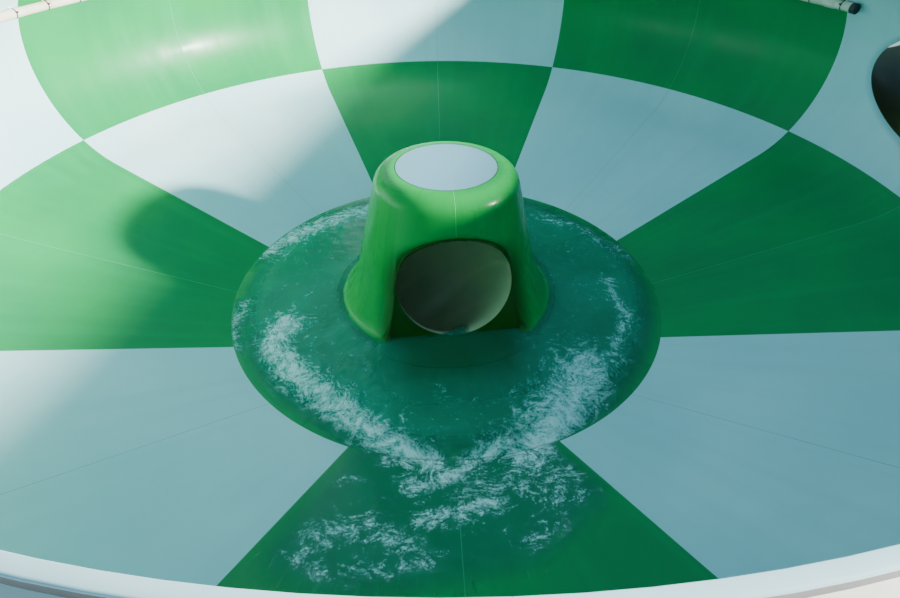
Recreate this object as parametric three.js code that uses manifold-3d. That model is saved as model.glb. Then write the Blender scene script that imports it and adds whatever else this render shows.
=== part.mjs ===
// A bowl water slide: a round saucer of moulded panels on steel frames, with a cone tower in the middle.
// The way in is a tube through the wall, and the way out is the arch in the tower, where an exit tube
// drops below the floor. Millimetres, +Z up, ground at Z = 0.
// Plan angles are in degrees from +Y (the far side) towards +X (the right side).
import * as THREE from "three";
import { mergeVertices } from "three/addons/utils/BufferGeometryUtils.js";
import Module from "manifold-3d";

const wasm = await Module();
wasm.setup();

// Bowl
const bowlHeight = 3200; // bowl floor above the ground
const floorRadius = 2750;
const floorHoleRadius = 1420;
const dishSlope = 20;
const wallRadius = 6100; // widest inside radius
const bendRadius = 1410; // section radius of the curled wall
const jointAngle = -46.5; // place on the bend where dish and wall panels meet
const rimAngle = 50.8;
const backTopAngle = 44; // the seam ribs end here, short of the rim
const rimWidth = 60;
const rimHeight = 12;
const skin = 10;
const flangeDepth = 90;
const flangeThickness = 10;
const panelCount = 16;
const stepsPerPanel = 3;
const wallSteps = 8;
const gap = 0.3; // between neighbouring pieces
const weldDistance = 0.02; // corners of a cut piece that lie closer than this are one
const wellOutside = 4000; // cutting shapes reach this far, past all that they cut

// Entry and exit tubes
const tubeRadius = 670;
const tubeFlangeWidth = 70;
const tubeFlangeThickness = 12;
const tubeSides = 20;

// Entry tube, tangent to the wall where it ends
const entryTangentAngle = 112.2;
const entryClearance = 30; // between the tube's outermost line and the wall
const entryDrop = 150; // the tube's end below the middle of the wall's bend
const entryStubLength = 4300;
const entryTubeLength = 2400;
const entryPanels = [3, 4]; // wall panels that the entry tube passes through
const entryRise = 0.06; // height gained for each millimetre upstream
const entryPosts = [3950, 6220]; // places along the tubes

// Cone tower
const towerTurn = 4.9; // the arch faces this far to the right of -Y
const coneFootRadius = 1500;
const coneBaseRadius = 1223; // wall line carried down to the floor
const coneTaper = 0.2346;
const coneHeight = 1766;
const coneFlareHeight = 140;
const flareShares = [1, 0.45, 0.15]; // places on the foot's flare, as shares of its height from the top
const flareSharpness = 1.6;
const coneShoulderRadius = 240;
const shoulderSteps = 4;
const coneSteps = 26;
const capRadius = 590;
const capThickness = 12;
const archRadius = 700;
const archCentreHeight = 585;
const archFootHalfWidth = 830;
const archSteps = 12;
const pocketGrowth = 50; // the pocket behind the arch is this much wider than the arch
const mouthSetback = 960; // from the bowl axis to the mouth plate's foot
const mouthPlateThickness = 12;

// Exit tube, from the mouth plate down through the floor and out under the dish
const exitTurn = [-1900, 450, -1350]; // end of the bend, from the bowl floor's centre
const exitSlope = 0.13;
const exitTubeLength = 2500;
const exitPull = [1000, 1150]; // how far each end of the bend runs on straight
const exitStations = 8; // the bend is two tubes of half as many
const exitPosts = [1375, 4500]; // places along the straight tubes

// Spray pipe round the wall
const pipeRadius = 57;
const pipeStandoff = 75; // pipe axis to the wall
const pipeWallAngle = 32;
const pipeStart = 69.5;
const pipeEnd = -245.5;
const pipeSides = 6;
const clampWidth = 50;

// Steel
const frameCount = 8;
const firstFrame = 22.5;
const frameWidth = 100;
const rakerDepth = 180;
const armDepth = 120;
const armTopAngle = 8;
const armSteps = 6;
const columnRadius = 110;
const columnPlace = 4350;
const columnSides = 12;
const basePlate = 480;
const basePlateThickness = 25;
const tieWidth = 120;
const tieDepth = 150;
const floorRingRadius = 1500;
const floorRingWidth = 120;
const floorRingDepth = 110;
const postRadius = 84;
const postPlate = 400;
const saddleWidth = 150;
const saddleThickness = 12;
const saddleTop = 0.8; // the saddle holds the tube from this share of its radius downwards

const radians = THREE.MathUtils.degToRad;
const panelAngle = 360 / panelCount;
const slope = radians(dishSlope);
const bendR = wallRadius - bendRadius;
const bendZ = bendRadius / Math.cos(slope) + Math.tan(slope) * (bendR - floorRadius);
const bendStart = dishSlope - 90;
const underside = skin + flangeDepth;
const ribDepth = underside - 1; // seam ribs stop just short of the flanges' edge
const wallSeam = jointAngle + THREE.MathUtils.radToDeg(gap / 2 / bendRadius);
const wallFoot = wallSeam + THREE.MathUtils.radToDeg(flangeThickness / bendRadius);

function finish(color, roughness, metalness = 0) {
  return new THREE.MeshStandardMaterial({ color, roughness, metalness });
}

const white = finish(0xe9eef0, 0.25);
const green = finish(0x0f8f4f, 0.25);
const coneGreen = finish(0x12a04a, 0.22);
const capWhite = finish(0xf2f4f5, 0.35);
const tubeGrey = finish(0xb9bebd, 0.35);
const steel = finish(0x9aa0a3, 0.5, 0.8);
const pipeCream = finish(0xe9dfc6, 0.5);

const model = new THREE.Group();
const bowl = new THREE.Group(); // origin at the middle of the bowl floor
bowl.position.z = bowlHeight;
model.add(bowl);

// The corners and faces of a geometry with its doubles merged and its empty triangles dropped.
function welded(geometry, tolerance) {
  const merged = mergeVertices(geometry, tolerance);
  const corners = merged.index.array;
  const faces = [];
  for (let i = 0; i < corners.length; i += 3) {
    const [a, b, c] = corners.slice(i, i + 3);
    if (a !== b && b !== c && c !== a) faces.push([a, b, c]);
  }
  return { corners: merged.attributes.position.array, faces };
}

// A closed geometry as a solid, turned right side out.
function solid(geometry) {
  geometry.deleteAttribute("normal");
  geometry.deleteAttribute("uv");
  const { corners, faces } = welded(geometry, 1e-3);
  const build = (list) => {
    const triVerts = Uint32Array.from(list.flat());
    return new wasm.Manifold(new wasm.Mesh({ numProp: 3, vertProperties: corners, triVerts }));
  };
  const made = build(faces);
  return made.volume() > 0 ? made : build(faces.map(([a, b, c]) => [a, c, b]));
}

function union(...solids) {
  return solids.reduce((sum, next) => sum.add(next));
}

function addMesh(name, made, material, group) {
  const { numVert, vertProperties, triVerts } = made.getMesh();
  const raw = new THREE.BufferGeometry();
  raw.setAttribute("position", new THREE.BufferAttribute(vertProperties.slice(0, numVert * 3), 3));
  raw.setIndex(new THREE.BufferAttribute(triVerts, 1));
  const { corners, faces } = welded(raw, weldDistance);
  const geometry = new THREE.BufferGeometry();
  geometry.setAttribute("position", new THREE.BufferAttribute(corners, 3));
  geometry.setIndex(faces.flat());
  const mesh = new THREE.Mesh(geometry, material);
  mesh.name = name;
  group.add(mesh);
}

// A closed lattice: rings of count points, with place(j, i) giving point j of ring i.
// The rings join up in a loop, or are closed off by the given end triangles.
function lattice(count, rings, place, ends) {
  const positions = [];
  for (let i = 0; i < rings; i++) {
    for (let j = 0; j < count; j++) positions.push(...place(j, i));
  }
  const faces = [];
  const spans = ends ? rings - 1 : rings;
  for (let i = 0; i < spans; i++) {
    const here = i * count;
    const next = ((i + 1) % rings) * count;
    for (let j = 0; j < count; j++) {
      const k = (j + 1) % count;
      faces.push(here + j, here + k, next + k, here + j, next + k, next + j);
    }
  }
  const last = (rings - 1) * count;
  for (const [a, b, c] of ends ?? []) faces.push(a, c, b, last + a, last + b, last + c);
  const geometry = new THREE.BufferGeometry();
  geometry.setAttribute("position", new THREE.Float32BufferAttribute(positions, 3));
  geometry.setIndex(faces);
  return solid(geometry);
}

// Plan directions [x, y] at equal angles.
function directions(from, to, steps) {
  return Array.from({ length: steps + 1 }, (_, i) => {
    const angle = radians(from + ((to - from) * i) / steps);
    return [Math.sin(angle), Math.cos(angle)];
  });
}

// A share of the way along the straight chord between two directions.
function along([ax, ay], [bx, by], share) {
  return [ax + (bx - ax) * share, ay + (by - ay) * share];
}

// A point [r, z] carried to a plan direction.
function carried([r, z], [x, y]) {
  return [r * x, r * y, z];
}

// Closed [r, z] outlines carried through plan directions, with flat ends. Each ring may have its own
// outline, all with the same number of points and all counterclockwise.
function sweep(outlines, ways) {
  const points = outlines[0].map(([r, z]) => new THREE.Vector2(r, z));
  const place = (j, i) => carried(outlines[i][j], ways[i]);
  return lattice(points.length, ways.length, place, THREE.ShapeUtils.triangulateShape(points, []));
}

// One outline carried all the way round.
function revolve(outline, steps) {
  const ways = directions(0, 360, steps);
  return lattice(outline.length, steps, (j, i) => carried(outline[j], ways[i]));
}

// Points on the wall's section arc, a distance outside its inner face.
function bendPoints(outside, from, to, steps) {
  return Array.from({ length: steps + 1 }, (_, i) => {
    const angle = radians(from + ((to - from) * i) / steps);
    const r = bendRadius + outside;
    return [bendR + r * Math.cos(angle), bendZ + r * Math.sin(angle)];
  });
}

// The place [r, z] a distance below the dish's inner face, at the given plan radius.
function dishPoint(r, below) {
  return [r, (r - floorRadius) * Math.tan(slope) - below / Math.cos(slope)];
}

// Turns a solid made in a radial frame (X outwards, Y up, Z round) to a plan angle.
function atPlanAngle(made, angle) {
  const basis = new THREE.Matrix4().makeBasis(
    new THREE.Vector3(Math.sin(radians(angle)), Math.cos(radians(angle)), 0),
    new THREE.Vector3(0, 0, 1),
    new THREE.Vector3(Math.cos(radians(angle)), -Math.sin(radians(angle)), 0),
  );
  return made.transform(basis.elements);
}

function extrude(outline, depth, start) {
  const shape = new THREE.Shape(outline.map(([x, y]) => new THREE.Vector2(x, y)));
  return solid(new THREE.ExtrudeGeometry(shape, { depth, bevelEnabled: false }).translate(0, 0, start));
}

// A closed outline of [share of the curve's length, radius] carried round a curve.
function tubeAround(curve, outline, stations) {
  const frames = curve.computeFrenetFrames(stations);
  const place = (j, i) => {
    const [share, radius] = outline[j];
    const angle = (2 * Math.PI * i) / tubeSides;
    const frame = Math.round(share * stations);
    const point = curve.getPointAt(Math.min(Math.max(share, 0), 1));
    point.addScaledVector(frames.normals[frame], radius * Math.cos(angle));
    return point.addScaledVector(frames.binormals[frame], radius * Math.sin(angle)).toArray();
  };
  return lattice(outline.length, tubeSides, place);
}

function rod(start, end, radius) {
  return tubeAround(new THREE.LineCurve3(start, end), [[0, 0], [0, radius], [1, radius], [1, 0]], 1);
}

// A tube skin with a bolted flange at the chosen ends, over a share of the curve.
function flangedTube(curve, stations, flangeAtStart, flangeAtEnd, from = 0, to = 1) {
  const outer = tubeRadius + skin;
  const wide = outer + tubeFlangeWidth;
  const thick = tubeFlangeThickness / curve.getLength();
  const shares = Array.from({ length: stations + 1 }, (_, i) => i / stations);
  const between = shares.filter((share) => share > from + thick && share < to - thick);
  const outline = [
    ...[from, ...between, to].map((share) => [share, tubeRadius]).reverse(),
    ...(flangeAtStart ? [[from, wide], [from + thick, wide], [from + thick, outer]] : [[from, outer]]),
    ...between.map((share) => [share, outer]),
    ...(flangeAtEnd ? [[to - thick, outer], [to - thick, wide], [to, wide]] : [[to, outer]]),
  ];
  return tubeAround(curve, outline, stations);
}

function box(x, y, z, width, depth, height) {
  return solid(new THREE.BoxGeometry(width, depth, height).translate(x, y, z));
}

// Floor
function addFloor() {
  const outer = floorRadius - gap;
  const sheet = (depth) => [
    [floorHoleRadius, 0],
    [floorHoleRadius, -underside],
    [floorHoleRadius + flangeThickness, -underside],
    [floorHoleRadius + flangeThickness, -depth],
    [outer - flangeThickness, -depth],
    [outer - flangeThickness, -underside],
    [outer, -underside],
    [outer, 0],
  ];
  const trim = THREE.MathUtils.radToDeg(gap / floorRadius);
  const steps = (stepsPerPanel * panelCount) / 2;
  for (const [name, from] of [["floor_back", -90], ["floor_front", 90]]) {
    addMesh(name, ribbed(sheet(skin), sheet(ribDepth), from + trim, from + 180 - trim, steps), green, bowl);
  }
}

// A moulded sheet between two plan angles. Along each end it deepens to the rib's outline.
function ribbed(sheet, rib, from, to, steps) {
  const ways = directions(from, to, steps);
  const share = flangeThickness / (radians((to - from) / steps) * floorRadius);
  const second = along(ways[0], ways[1], share);
  const last = along(ways.at(-2), ways.at(-1), 1 - share);
  const between = ways.slice(1, -1);
  const outlines = [rib, rib, sheet, ...between.map(() => sheet), sheet, rib, rib];
  return sweep(outlines, [ways[0], second, second, ...between, last, last, ways.at(-1)]);
}

function panel(sheet, rib, index) {
  const trim = THREE.MathUtils.radToDeg(gap / 2 / floorRadius);
  const from = index * panelAngle + trim;
  return ribbed(sheet, rib, from, from + panelAngle - 2 * trim, stepsPerPanel);
}

function panelName(row, index) {
  return `${row}_panel_${String(index + 1).padStart(2, "0")}`;
}

// Panels take the colour of their 45 degree sector, whose middle is at a multiple of 45 degrees.
function sectorColour(index, even, odd) {
  const sector = Math.floor((index + 1) / 2) % 2;
  return sector === 0 ? even : odd;
}

function addDish() {
  const seam = jointAngle - THREE.MathUtils.radToDeg(gap / 2 / bendRadius);
  const flangeTurn = THREE.MathUtils.radToDeg(flangeThickness / bendRadius);
  const foot = floorRadius + flangeThickness;
  const outline = (depth) => [
    [floorRadius, 0],
    [floorRadius, -underside],
    [foot, -underside],
    dishPoint(foot + depth * Math.tan(slope / 2), depth),
    ...bendPoints(depth, bendStart, seam - flangeTurn, 2),
    ...bendPoints(underside, seam - flangeTurn, seam, 1),
    ...bendPoints(0, seam, bendStart, 2),
  ];
  for (let i = 0; i < panelCount; i++) {
    const made = panel(outline(skin), outline(ribDepth), i);
    addMesh(panelName("dish", i), made, sectorColour(i, green, white), bowl);
  }
}

// The entry tube's axis: a line in plan that is tangent to the wall, rising upstream.
function entryPoint(upstream) {
  const angle = radians(entryTangentAngle);
  const offset = wallRadius - entryClearance - tubeRadius;
  return new THREE.Vector3(
    offset * Math.sin(angle) - upstream * Math.cos(angle),
    offset * Math.cos(angle) + upstream * Math.sin(angle),
    bendZ - entryDrop + upstream * entryRise,
  );
}

// The outer line of a wall panel between its flange and its kerb, at a distance outside the inner face.
function wallBack(outside) {
  return bendPoints(outside, wallFoot, backTopAngle, wallSteps - 1);
}

// Its inner line, or one at a distance outside that.
function wallFront(outside) {
  return bendPoints(outside, rimAngle, wallSeam, wallSteps);
}

// Everything between the bowl's axis and a line on the wall, faceted as the panels are.
function insideOf(line) {
  return revolve([[0, line[0][1]], ...line, [0, line.at(-1)[1]]], stepsPerPanel * panelCount);
}

function addWall() {
  const inner = wallFront(0);
  const [rimR, rimZ] = inner[0];
  const kerbReach = rimR + rimWidth - bendR;
  const kerbAngle = THREE.MathUtils.radToDeg(Math.acos(kerbReach / (bendRadius + skin)));
  const top = rimZ + skin + rimHeight;
  const outline = (depth) => [
    ...bendPoints(underside, wallSeam, wallFoot, 1),
    ...wallBack(depth),
    bendPoints(skin, kerbAngle, kerbAngle, 1)[0],
    [rimR + rimWidth, top],
    [rimR, top],
    ...inner,
  ];
  const throat = rod(entryPoint(0), entryPoint(entryStubLength), tubeRadius);
  const sleeve = rod(entryPoint(0), entryPoint(entryStubLength), tubeRadius + skin + gap);
  const cutter = throat.add(sleeve.subtract(insideOf(wallBack(skin))));
  for (let i = 0; i < panelCount; i++) {
    const whole = panel(outline(skin), outline(ribDepth), i);
    const made = entryPanels.includes(i) ? whole.subtract(cutter) : whole;
    addMesh(panelName("wall", i), made, sectorColour(i, white, green), bowl);
  }
}

function addEntryTube() {
  const stub = flangedTube(new THREE.LineCurve3(entryPoint(0), entryPoint(entryStubLength)), 1, false, true);
  addMesh("entry_tube_1", stub.subtract(insideOf(wallBack(skin + gap))), green, bowl);
  const start = entryPoint(entryStubLength + gap);
  const end = entryPoint(entryStubLength + entryTubeLength);
  addMesh("entry_tube_2", flangedTube(new THREE.LineCurve3(start, end), 1, true, true), green, bowl);
}

// The tower's section, [r, z], as an outer line; inset moves it inwards to the skin's inner face.
function coneLine(inset) {
  const lean = Math.atan(coneTaper);
  const shoulder = coneShoulderRadius - inset;
  const centreZ = coneHeight - coneShoulderRadius;
  const centreR = coneBaseRadius - coneTaper * centreZ - coneShoulderRadius / Math.cos(lean);
  const arc = Array.from({ length: shoulderSteps + 1 }, (_, i) => {
    const angle = lean + ((Math.PI / 2 - lean) * i) / shoulderSteps;
    return [centreR + shoulder * Math.cos(angle), centreZ + shoulder * Math.sin(angle)];
  });
  const wallAt = (z) => coneBaseRadius - coneTaper * z - inset / Math.cos(lean);
  const foot = coneFootRadius - coneBaseRadius;
  const flare = flareShares.map((t) => [
    wallAt(coneFlareHeight * (1 - t)) + foot * t * t,
    gap + skin - inset + coneFlareHeight * (1 - t) ** flareSharpness,
  ]);
  const above = coneFlareHeight * 1.3;
  return [...flare, [wallAt(above), above], ...arc];
}

function archOutline(grow, floorZ) {
  const r = archRadius + grow;
  const arc = Array.from({ length: archSteps + 1 }, (_, i) => {
    const angle = (Math.PI * i) / archSteps;
    return [r * Math.cos(angle), archCentreHeight + r * Math.sin(angle)];
  });
  const half = archFootHalfWidth + grow;
  const bulge = (half + r * 2) / 3;
  const bulgeHeight = archCentreHeight / 2;
  return [[half, floorZ], [bulge, bulgeHeight], ...arc, [-bulge, bulgeHeight], [-half, floorZ]];
}

// The exit mouth: its centre and the direction that the tube leaves in, both in the tower's own frame.
function exitMouth() {
  const lean = Math.atan(coneTaper);
  const height = tubeRadius + 2 * skin;
  return {
    centre: new THREE.Vector3(0, -mouthSetback + height * Math.sin(lean), height * Math.cos(lean)),
    inward: new THREE.Vector3(0, Math.cos(lean), -Math.sin(lean)),
  };
}

function addTower() {
  const outer = coneLine(0);
  const inner = coneLine(skin);
  const topR = capRadius + gap;
  const clip = (line) => line.filter(([r]) => r > topR);
  const top = [topR, coneHeight];
  const under = [topR, coneHeight - skin];
  const shell = revolve([...clip(outer), top, under, ...clip(inner).reverse()], coneSteps);
  const filled = revolve([[0, gap], [coneFootRadius, gap], ...clip(outer), top, [0, coneHeight]], coneSteps);

  // Arch profiles are drawn facing -Y and pushed back through the cone's front.
  const arch = (grow, floorZ) => extrude(archOutline(grow, floorZ), wellOutside, 0).rotate([90, 0, 0]);
  const opening = arch(0, gap + skin);
  const pocketInside = arch(pocketGrowth, gap + skin);
  const pocketOutside = arch(pocketGrowth + skin, gap);

  const { centre, inward } = exitMouth();
  const turned = new THREE.Quaternion().setFromUnitVectors(new THREE.Vector3(0, 1, 0), inward);
  const slab = (near, far) => {
    const sheet = new THREE.BoxGeometry(wellOutside, far - near, wellOutside);
    sheet.translate(0, (near + far) / 2, 0).applyQuaternion(turned);
    return solid(sheet.translate(centre.x, centre.y, centre.z));
  };
  const onAxis = (distance) => centre.clone().addScaledVector(inward, distance);
  const bore = rod(onAxis(-skin), onAxis(mouthPlateThickness + skin), tubeRadius);
  const plate = slab(0, mouthPlateThickness).intersect(pocketOutside).intersect(filled).subtract(bore);
  const ahead = slab(-wellOutside, mouthPlateThickness / 2);
  const pocket = pocketOutside.subtract(pocketInside).intersect(filled).intersect(ahead);
  const tower = union(shell.subtract(opening.intersect(ahead)), pocket, plate);

  const turnedGroup = new THREE.Group();
  turnedGroup.rotation.z = radians(towerTurn);
  bowl.add(turnedGroup);
  const width = 2 * wellOutside;
  const half = (side) => box((side * (width + gap)) / 2, 0, 0, width, width, width);
  addMesh("tower_left", tower.intersect(half(-1)), coneGreen, turnedGroup);
  addMesh("tower_right", tower.intersect(half(1)), coneGreen, turnedGroup);
  const cap = [
    [0, coneHeight - capThickness],
    [capRadius, coneHeight - capThickness],
    [capRadius, coneHeight],
    [0, coneHeight],
  ];
  addMesh("tower_cap", revolve(cap, coneSteps), capWhite, turnedGroup);
}

function addExitTube() {
  const { centre, inward } = exitMouth();
  const spin = new THREE.Quaternion().setFromAxisAngle(new THREE.Vector3(0, 0, 1), radians(towerTurn));
  const start = centre.addScaledVector(inward, mouthPlateThickness + gap).applyQuaternion(spin);
  const heading = inward.clone().applyQuaternion(spin);
  const turn = new THREE.Vector3(...exitTurn);
  const away = new THREE.Vector3(-1, 0, -exitSlope).normalize();
  const bend = new THREE.CubicBezierCurve3(
    start,
    start.clone().addScaledVector(heading, exitPull[0]),
    turn.clone().addScaledVector(away, -exitPull[1]),
    turn,
  );
  const second = 0.5 + gap / bend.getLength();
  addMesh("exit_tube_1", flangedTube(bend, exitStations, false, true, 0, 0.5), tubeGrey, bowl);
  addMesh("exit_tube_2", flangedTube(bend, exitStations, true, true, second, 1), tubeGrey, bowl);
  for (const i of [0, 1]) {
    const from = turn.clone().addScaledVector(away, i * exitTubeLength + gap);
    const to = turn.clone().addScaledVector(away, (i + 1) * exitTubeLength);
    const line = new THREE.LineCurve3(from, to);
    addMesh(`exit_tube_${i + 3}`, flangedTube(line, 1, true, true), tubeGrey, bowl);
  }
}

function addSprayPipe() {
  const [[r, z]] = bendPoints(-pipeStandoff, pipeWallAngle, pipeWallAngle, 1);
  const section = Array.from({ length: pipeSides }, (_, i) => {
    const angle = (2 * Math.PI * (i + 0.5)) / pipeSides;
    return [r + pipeRadius * Math.cos(angle), z + pipeRadius * Math.sin(angle)];
  });
  const steps = Math.round((pipeStart - pipeEnd) / (panelAngle / stepsPerPanel));
  const run = directions(pipeEnd, pipeStart, steps);
  const parts = [sweep(run.map(() => section), run)];
  const inside = insideOf(wallFront(-gap));
  const clampTurn = THREE.MathUtils.radToDeg(clampWidth / wallRadius);
  const spread = THREE.MathUtils.radToDeg(pipeRadius / 2 / bendRadius);
  const clamp = [
    ...bendPoints(skin, pipeWallAngle - spread, pipeWallAngle + spread, 1),
    ...bendPoints(-pipeStandoff, pipeWallAngle + spread, pipeWallAngle - spread, 1),
  ];
  for (let middle = panelAngle / 2 - 360; middle < pipeStart; middle += panelAngle) {
    if (middle < pipeEnd) continue;
    parts.push(sweep([clamp, clamp], directions(middle, middle + clampTurn, 1)).intersect(inside));
  }
  addMesh("spray_pipe", union(...parts), pipeCream, bowl);
}

// One frame in its radial frame: a raker under floor and dish with an arm up the wall, on a column.
function frameBody(grow) {
  const top = underside + gap;
  const inner = floorRingRadius + floorRingWidth + gap;
  const low = top + rakerDepth;
  const chord = radians((armTopAngle - bendStart) / armSteps);
  const armFace = (bendRadius + top) / Math.cos(chord / 2) - bendRadius; // its flats clear the flanges
  const outline = [
    [inner, -top],
    dishPoint(floorRadius + top * Math.tan(slope / 2), top),
    ...bendPoints(armFace, bendStart, armTopAngle, armSteps),
    ...bendPoints(armFace + armDepth, armTopAngle, bendStart, armSteps),
    dishPoint(floorRadius + low * Math.tan(slope / 2), low),
    [inner, -low],
  ];
  const width = frameWidth + 2 * grow;
  const raker = extrude(outline, width, -width / 2);
  const columnTop = dishPoint(columnPlace, top + rakerDepth / 2)[1];
  const height = columnTop + bowlHeight - basePlateThickness;
  const column = new THREE.CylinderGeometry(columnRadius + grow, columnRadius + grow, height, columnSides);
  return union(raker, solid(column.translate(columnPlace, columnTop - height / 2, 0)));
}

function addFrames() {
  const step = 360 / frameCount;
  const footY = basePlateThickness / 2 - bowlHeight;
  const foot = box(columnPlace, footY, 0, basePlate, basePlateThickness, basePlate);
  const frame = union(frameBody(0), foot);
  const apart = radians(step / 2);
  const tieR = columnPlace * Math.cos(apart);
  const tieTop = dishPoint(tieR - tieWidth / 2, underside + gap)[1];
  const tieLength = 2 * columnPlace * Math.sin(apart);
  const tie = box(tieR, tieTop - tieDepth / 2, 0, tieWidth, tieDepth, tieLength);
  for (let i = 0; i < frameCount; i++) {
    const angle = firstFrame + i * step;
    const next = atPlanAngle(frameBody(gap), angle + step);
    const reach = atPlanAngle(tie, angle + step / 2).subtract(next);
    addMesh(`frame_${i + 1}`, union(atPlanAngle(frame, angle), reach), steel, bowl);
  }
  const ring = [
    [floorRingRadius, -underside - gap],
    [floorRingRadius + floorRingWidth, -underside - gap],
    [floorRingRadius + floorRingWidth, -underside - gap - floorRingDepth],
    [floorRingRadius, -underside - gap - floorRingDepth],
  ];
  addMesh("floor_ring", revolve(ring, panelCount), steel, bowl);
}

// A post under a tube, with a curved saddle along the tube's direction.
function addTubePost(name, point, direction) {
  const inner = tubeRadius + skin + gap;
  const at = (distance) => point.clone().addScaledVector(direction, distance);
  const seat = [[0, inner], [0, inner + saddleThickness], [1, inner + saddleThickness], [1, inner]];
  const ring = tubeAround(new THREE.LineCurve3(at(-saddleWidth / 2), at(saddleWidth / 2)), seat, 1);
  const lower = box(point.x, point.y, point.z - inner * (saddleTop + 0.5), 2 * inner, 2 * inner, inner);
  const height = point.z - inner / 2 + bowlHeight - basePlateThickness;
  const column = new THREE.CylinderGeometry(postRadius, postRadius, height, columnSides);
  column.rotateX(Math.PI / 2).translate(point.x, point.y, point.z - inner / 2 - height / 2);
  const post = solid(column).subtract(rod(at(-inner), at(inner), inner));
  const footZ = basePlateThickness / 2 - bowlHeight;
  const foot = box(point.x, point.y, footZ, postPlate, postPlate, basePlateThickness);
  addMesh(name, union(ring.intersect(lower), post, foot), steel, bowl);
}

function addTubePosts() {
  const away = new THREE.Vector3(-1, 0, -exitSlope).normalize();
  const exitAt = (distance) => new THREE.Vector3(...exitTurn).addScaledVector(away, distance);
  exitPosts.forEach((place, i) => addTubePost(`exit_post_${i + 1}`, exitAt(place), away));
  const upstream = entryPoint(1).sub(entryPoint(0)).normalize();
  entryPosts.forEach((place, i) => addTubePost(`entry_post_${i + 1}`, entryPoint(place), upstream));
}

addFloor();
addDish();
addWall();
addEntryTube();
addTower();
addExitTube();
addSprayPipe();
addFrames();
addTubePosts();

// The origin is on the ground under the middle of the whole object.
const middle = new THREE.Box3().setFromObject(model, true).getCenter(new THREE.Vector3());
model.position.set(-middle.x, -middle.y, 0);

export default model;
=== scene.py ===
# A bowl water slide with its centre exit tower, finished for a studio picture.
# Metres, +Z up. Plan angles are in degrees from +Y, the far side, towards +X.
import bpy
import numpy as np
from mathutils import Matrix, Vector


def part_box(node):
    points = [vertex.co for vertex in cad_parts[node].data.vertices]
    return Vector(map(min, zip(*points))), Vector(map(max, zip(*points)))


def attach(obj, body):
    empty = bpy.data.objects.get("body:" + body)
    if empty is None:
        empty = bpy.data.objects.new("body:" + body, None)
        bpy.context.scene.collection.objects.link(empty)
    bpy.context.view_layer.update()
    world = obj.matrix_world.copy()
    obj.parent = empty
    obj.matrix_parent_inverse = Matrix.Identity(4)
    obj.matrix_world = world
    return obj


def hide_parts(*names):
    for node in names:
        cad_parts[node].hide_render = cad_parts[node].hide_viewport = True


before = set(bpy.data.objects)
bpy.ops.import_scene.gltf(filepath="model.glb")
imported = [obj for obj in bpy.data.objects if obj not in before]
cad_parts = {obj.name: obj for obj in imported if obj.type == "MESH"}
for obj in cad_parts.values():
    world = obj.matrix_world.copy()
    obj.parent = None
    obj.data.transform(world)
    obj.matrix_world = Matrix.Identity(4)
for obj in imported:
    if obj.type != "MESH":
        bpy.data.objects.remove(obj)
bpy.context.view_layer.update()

# The bowl's driving sizes, and where the frame puts it
bowl = {"floorRadius": 2.75, "holeRadius": 1.42, "dishSlope": 20, "wallRadius": 6.10, "bendRadius": 1.41,
        "jointAngle": -46.5, "rimAngle": 50.8, "rimWidth": 0.06, "rimHeight": 0.022, "skin": 0.010,
        "flangeDepth": 0.09, "flangeThickness": 0.010, "panels": 16, "panelAngle": 22.5}
capLow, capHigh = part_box("tower_cap")
floorMiddle = np.array([(capLow.x + capHigh.x) / 2, (capLow.y + capHigh.y) / 2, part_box("floor_back")[1].z])
floorR, skin, ribThick = bowl["floorRadius"], bowl["skin"], bowl["flangeThickness"]
ribDeep = skin + bowl["flangeDepth"]
slope, bendRadius, jointAngle = np.radians(bowl["dishSlope"]), bowl["bendRadius"], bowl["jointAngle"]
bendR = bowl["wallRadius"] - bendRadius
bendZ = bendRadius / np.cos(slope) + np.tan(slope) * (bendR - floorR)
bendStart = bowl["dishSlope"] - 90
print("frame loaded, middle of the floor at", floorMiddle.round(3))


# Shapes as numpy grids

def unit(vectors):
    # each vector divided by its length
    vectors = np.asarray(vectors, float)
    return vectors / np.linalg.norm(vectors, axis=-1, keepdims=True)


def smooth(share):
    # 3 s^2 - 2 s^3, held at 0 and 1 outside them
    share = np.clip(share, 0, 1)
    return share ** 2 * (3 - 2 * share)


def lengthsAlong(line):
    # the length from a line's start to each of its points, as a running sum of its steps
    return np.concatenate([[0], np.cumsum(np.linalg.norm(np.diff(line, axis=0), axis=1))])


def stacked(*parts):
    # parts of one shape side by side in a new last axis
    return np.stack(np.broadcast_arrays(*parts), -1)


def carried(flat, origin, side, up):
    # flat [a, b] rows carried to origin + a side + b up
    flat = np.asarray(flat, float)
    return np.asarray(origin) + flat[..., :1] * side + flat[..., 1:] * up


def gridQuads(rows, cols, wrapRows=False, wrapCols=False):
    # corner numbers of the quads between neighbouring grid points
    i = np.arange(rows if wrapRows else rows - 1)[:, None]
    j = np.arange(cols if wrapCols else cols - 1)
    nextI, nextJ = (i + 1) % rows, (j + 1) % cols
    return stacked(i * cols + j, i * cols + nextJ, nextI * cols + nextJ, nextI * cols + j).reshape(-1, 4)


def patch(verts, faces, mat=0, uv=None):
    # coincident points become one; each face keeps its own uv corners
    verts = verts.reshape(-1, 3)
    uv = np.zeros((len(verts), 2)) if uv is None else uv.reshape(-1, 2)
    _, first, back = np.unique(np.round(verts / 1e-6).astype(np.int64), axis=0, return_index=True,
                               return_inverse=True)
    return {"verts": verts[first], "faces": back.reshape(-1)[faces], "mat": np.resize(mat, len(faces)),
            "uv": uv[faces]}


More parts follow.
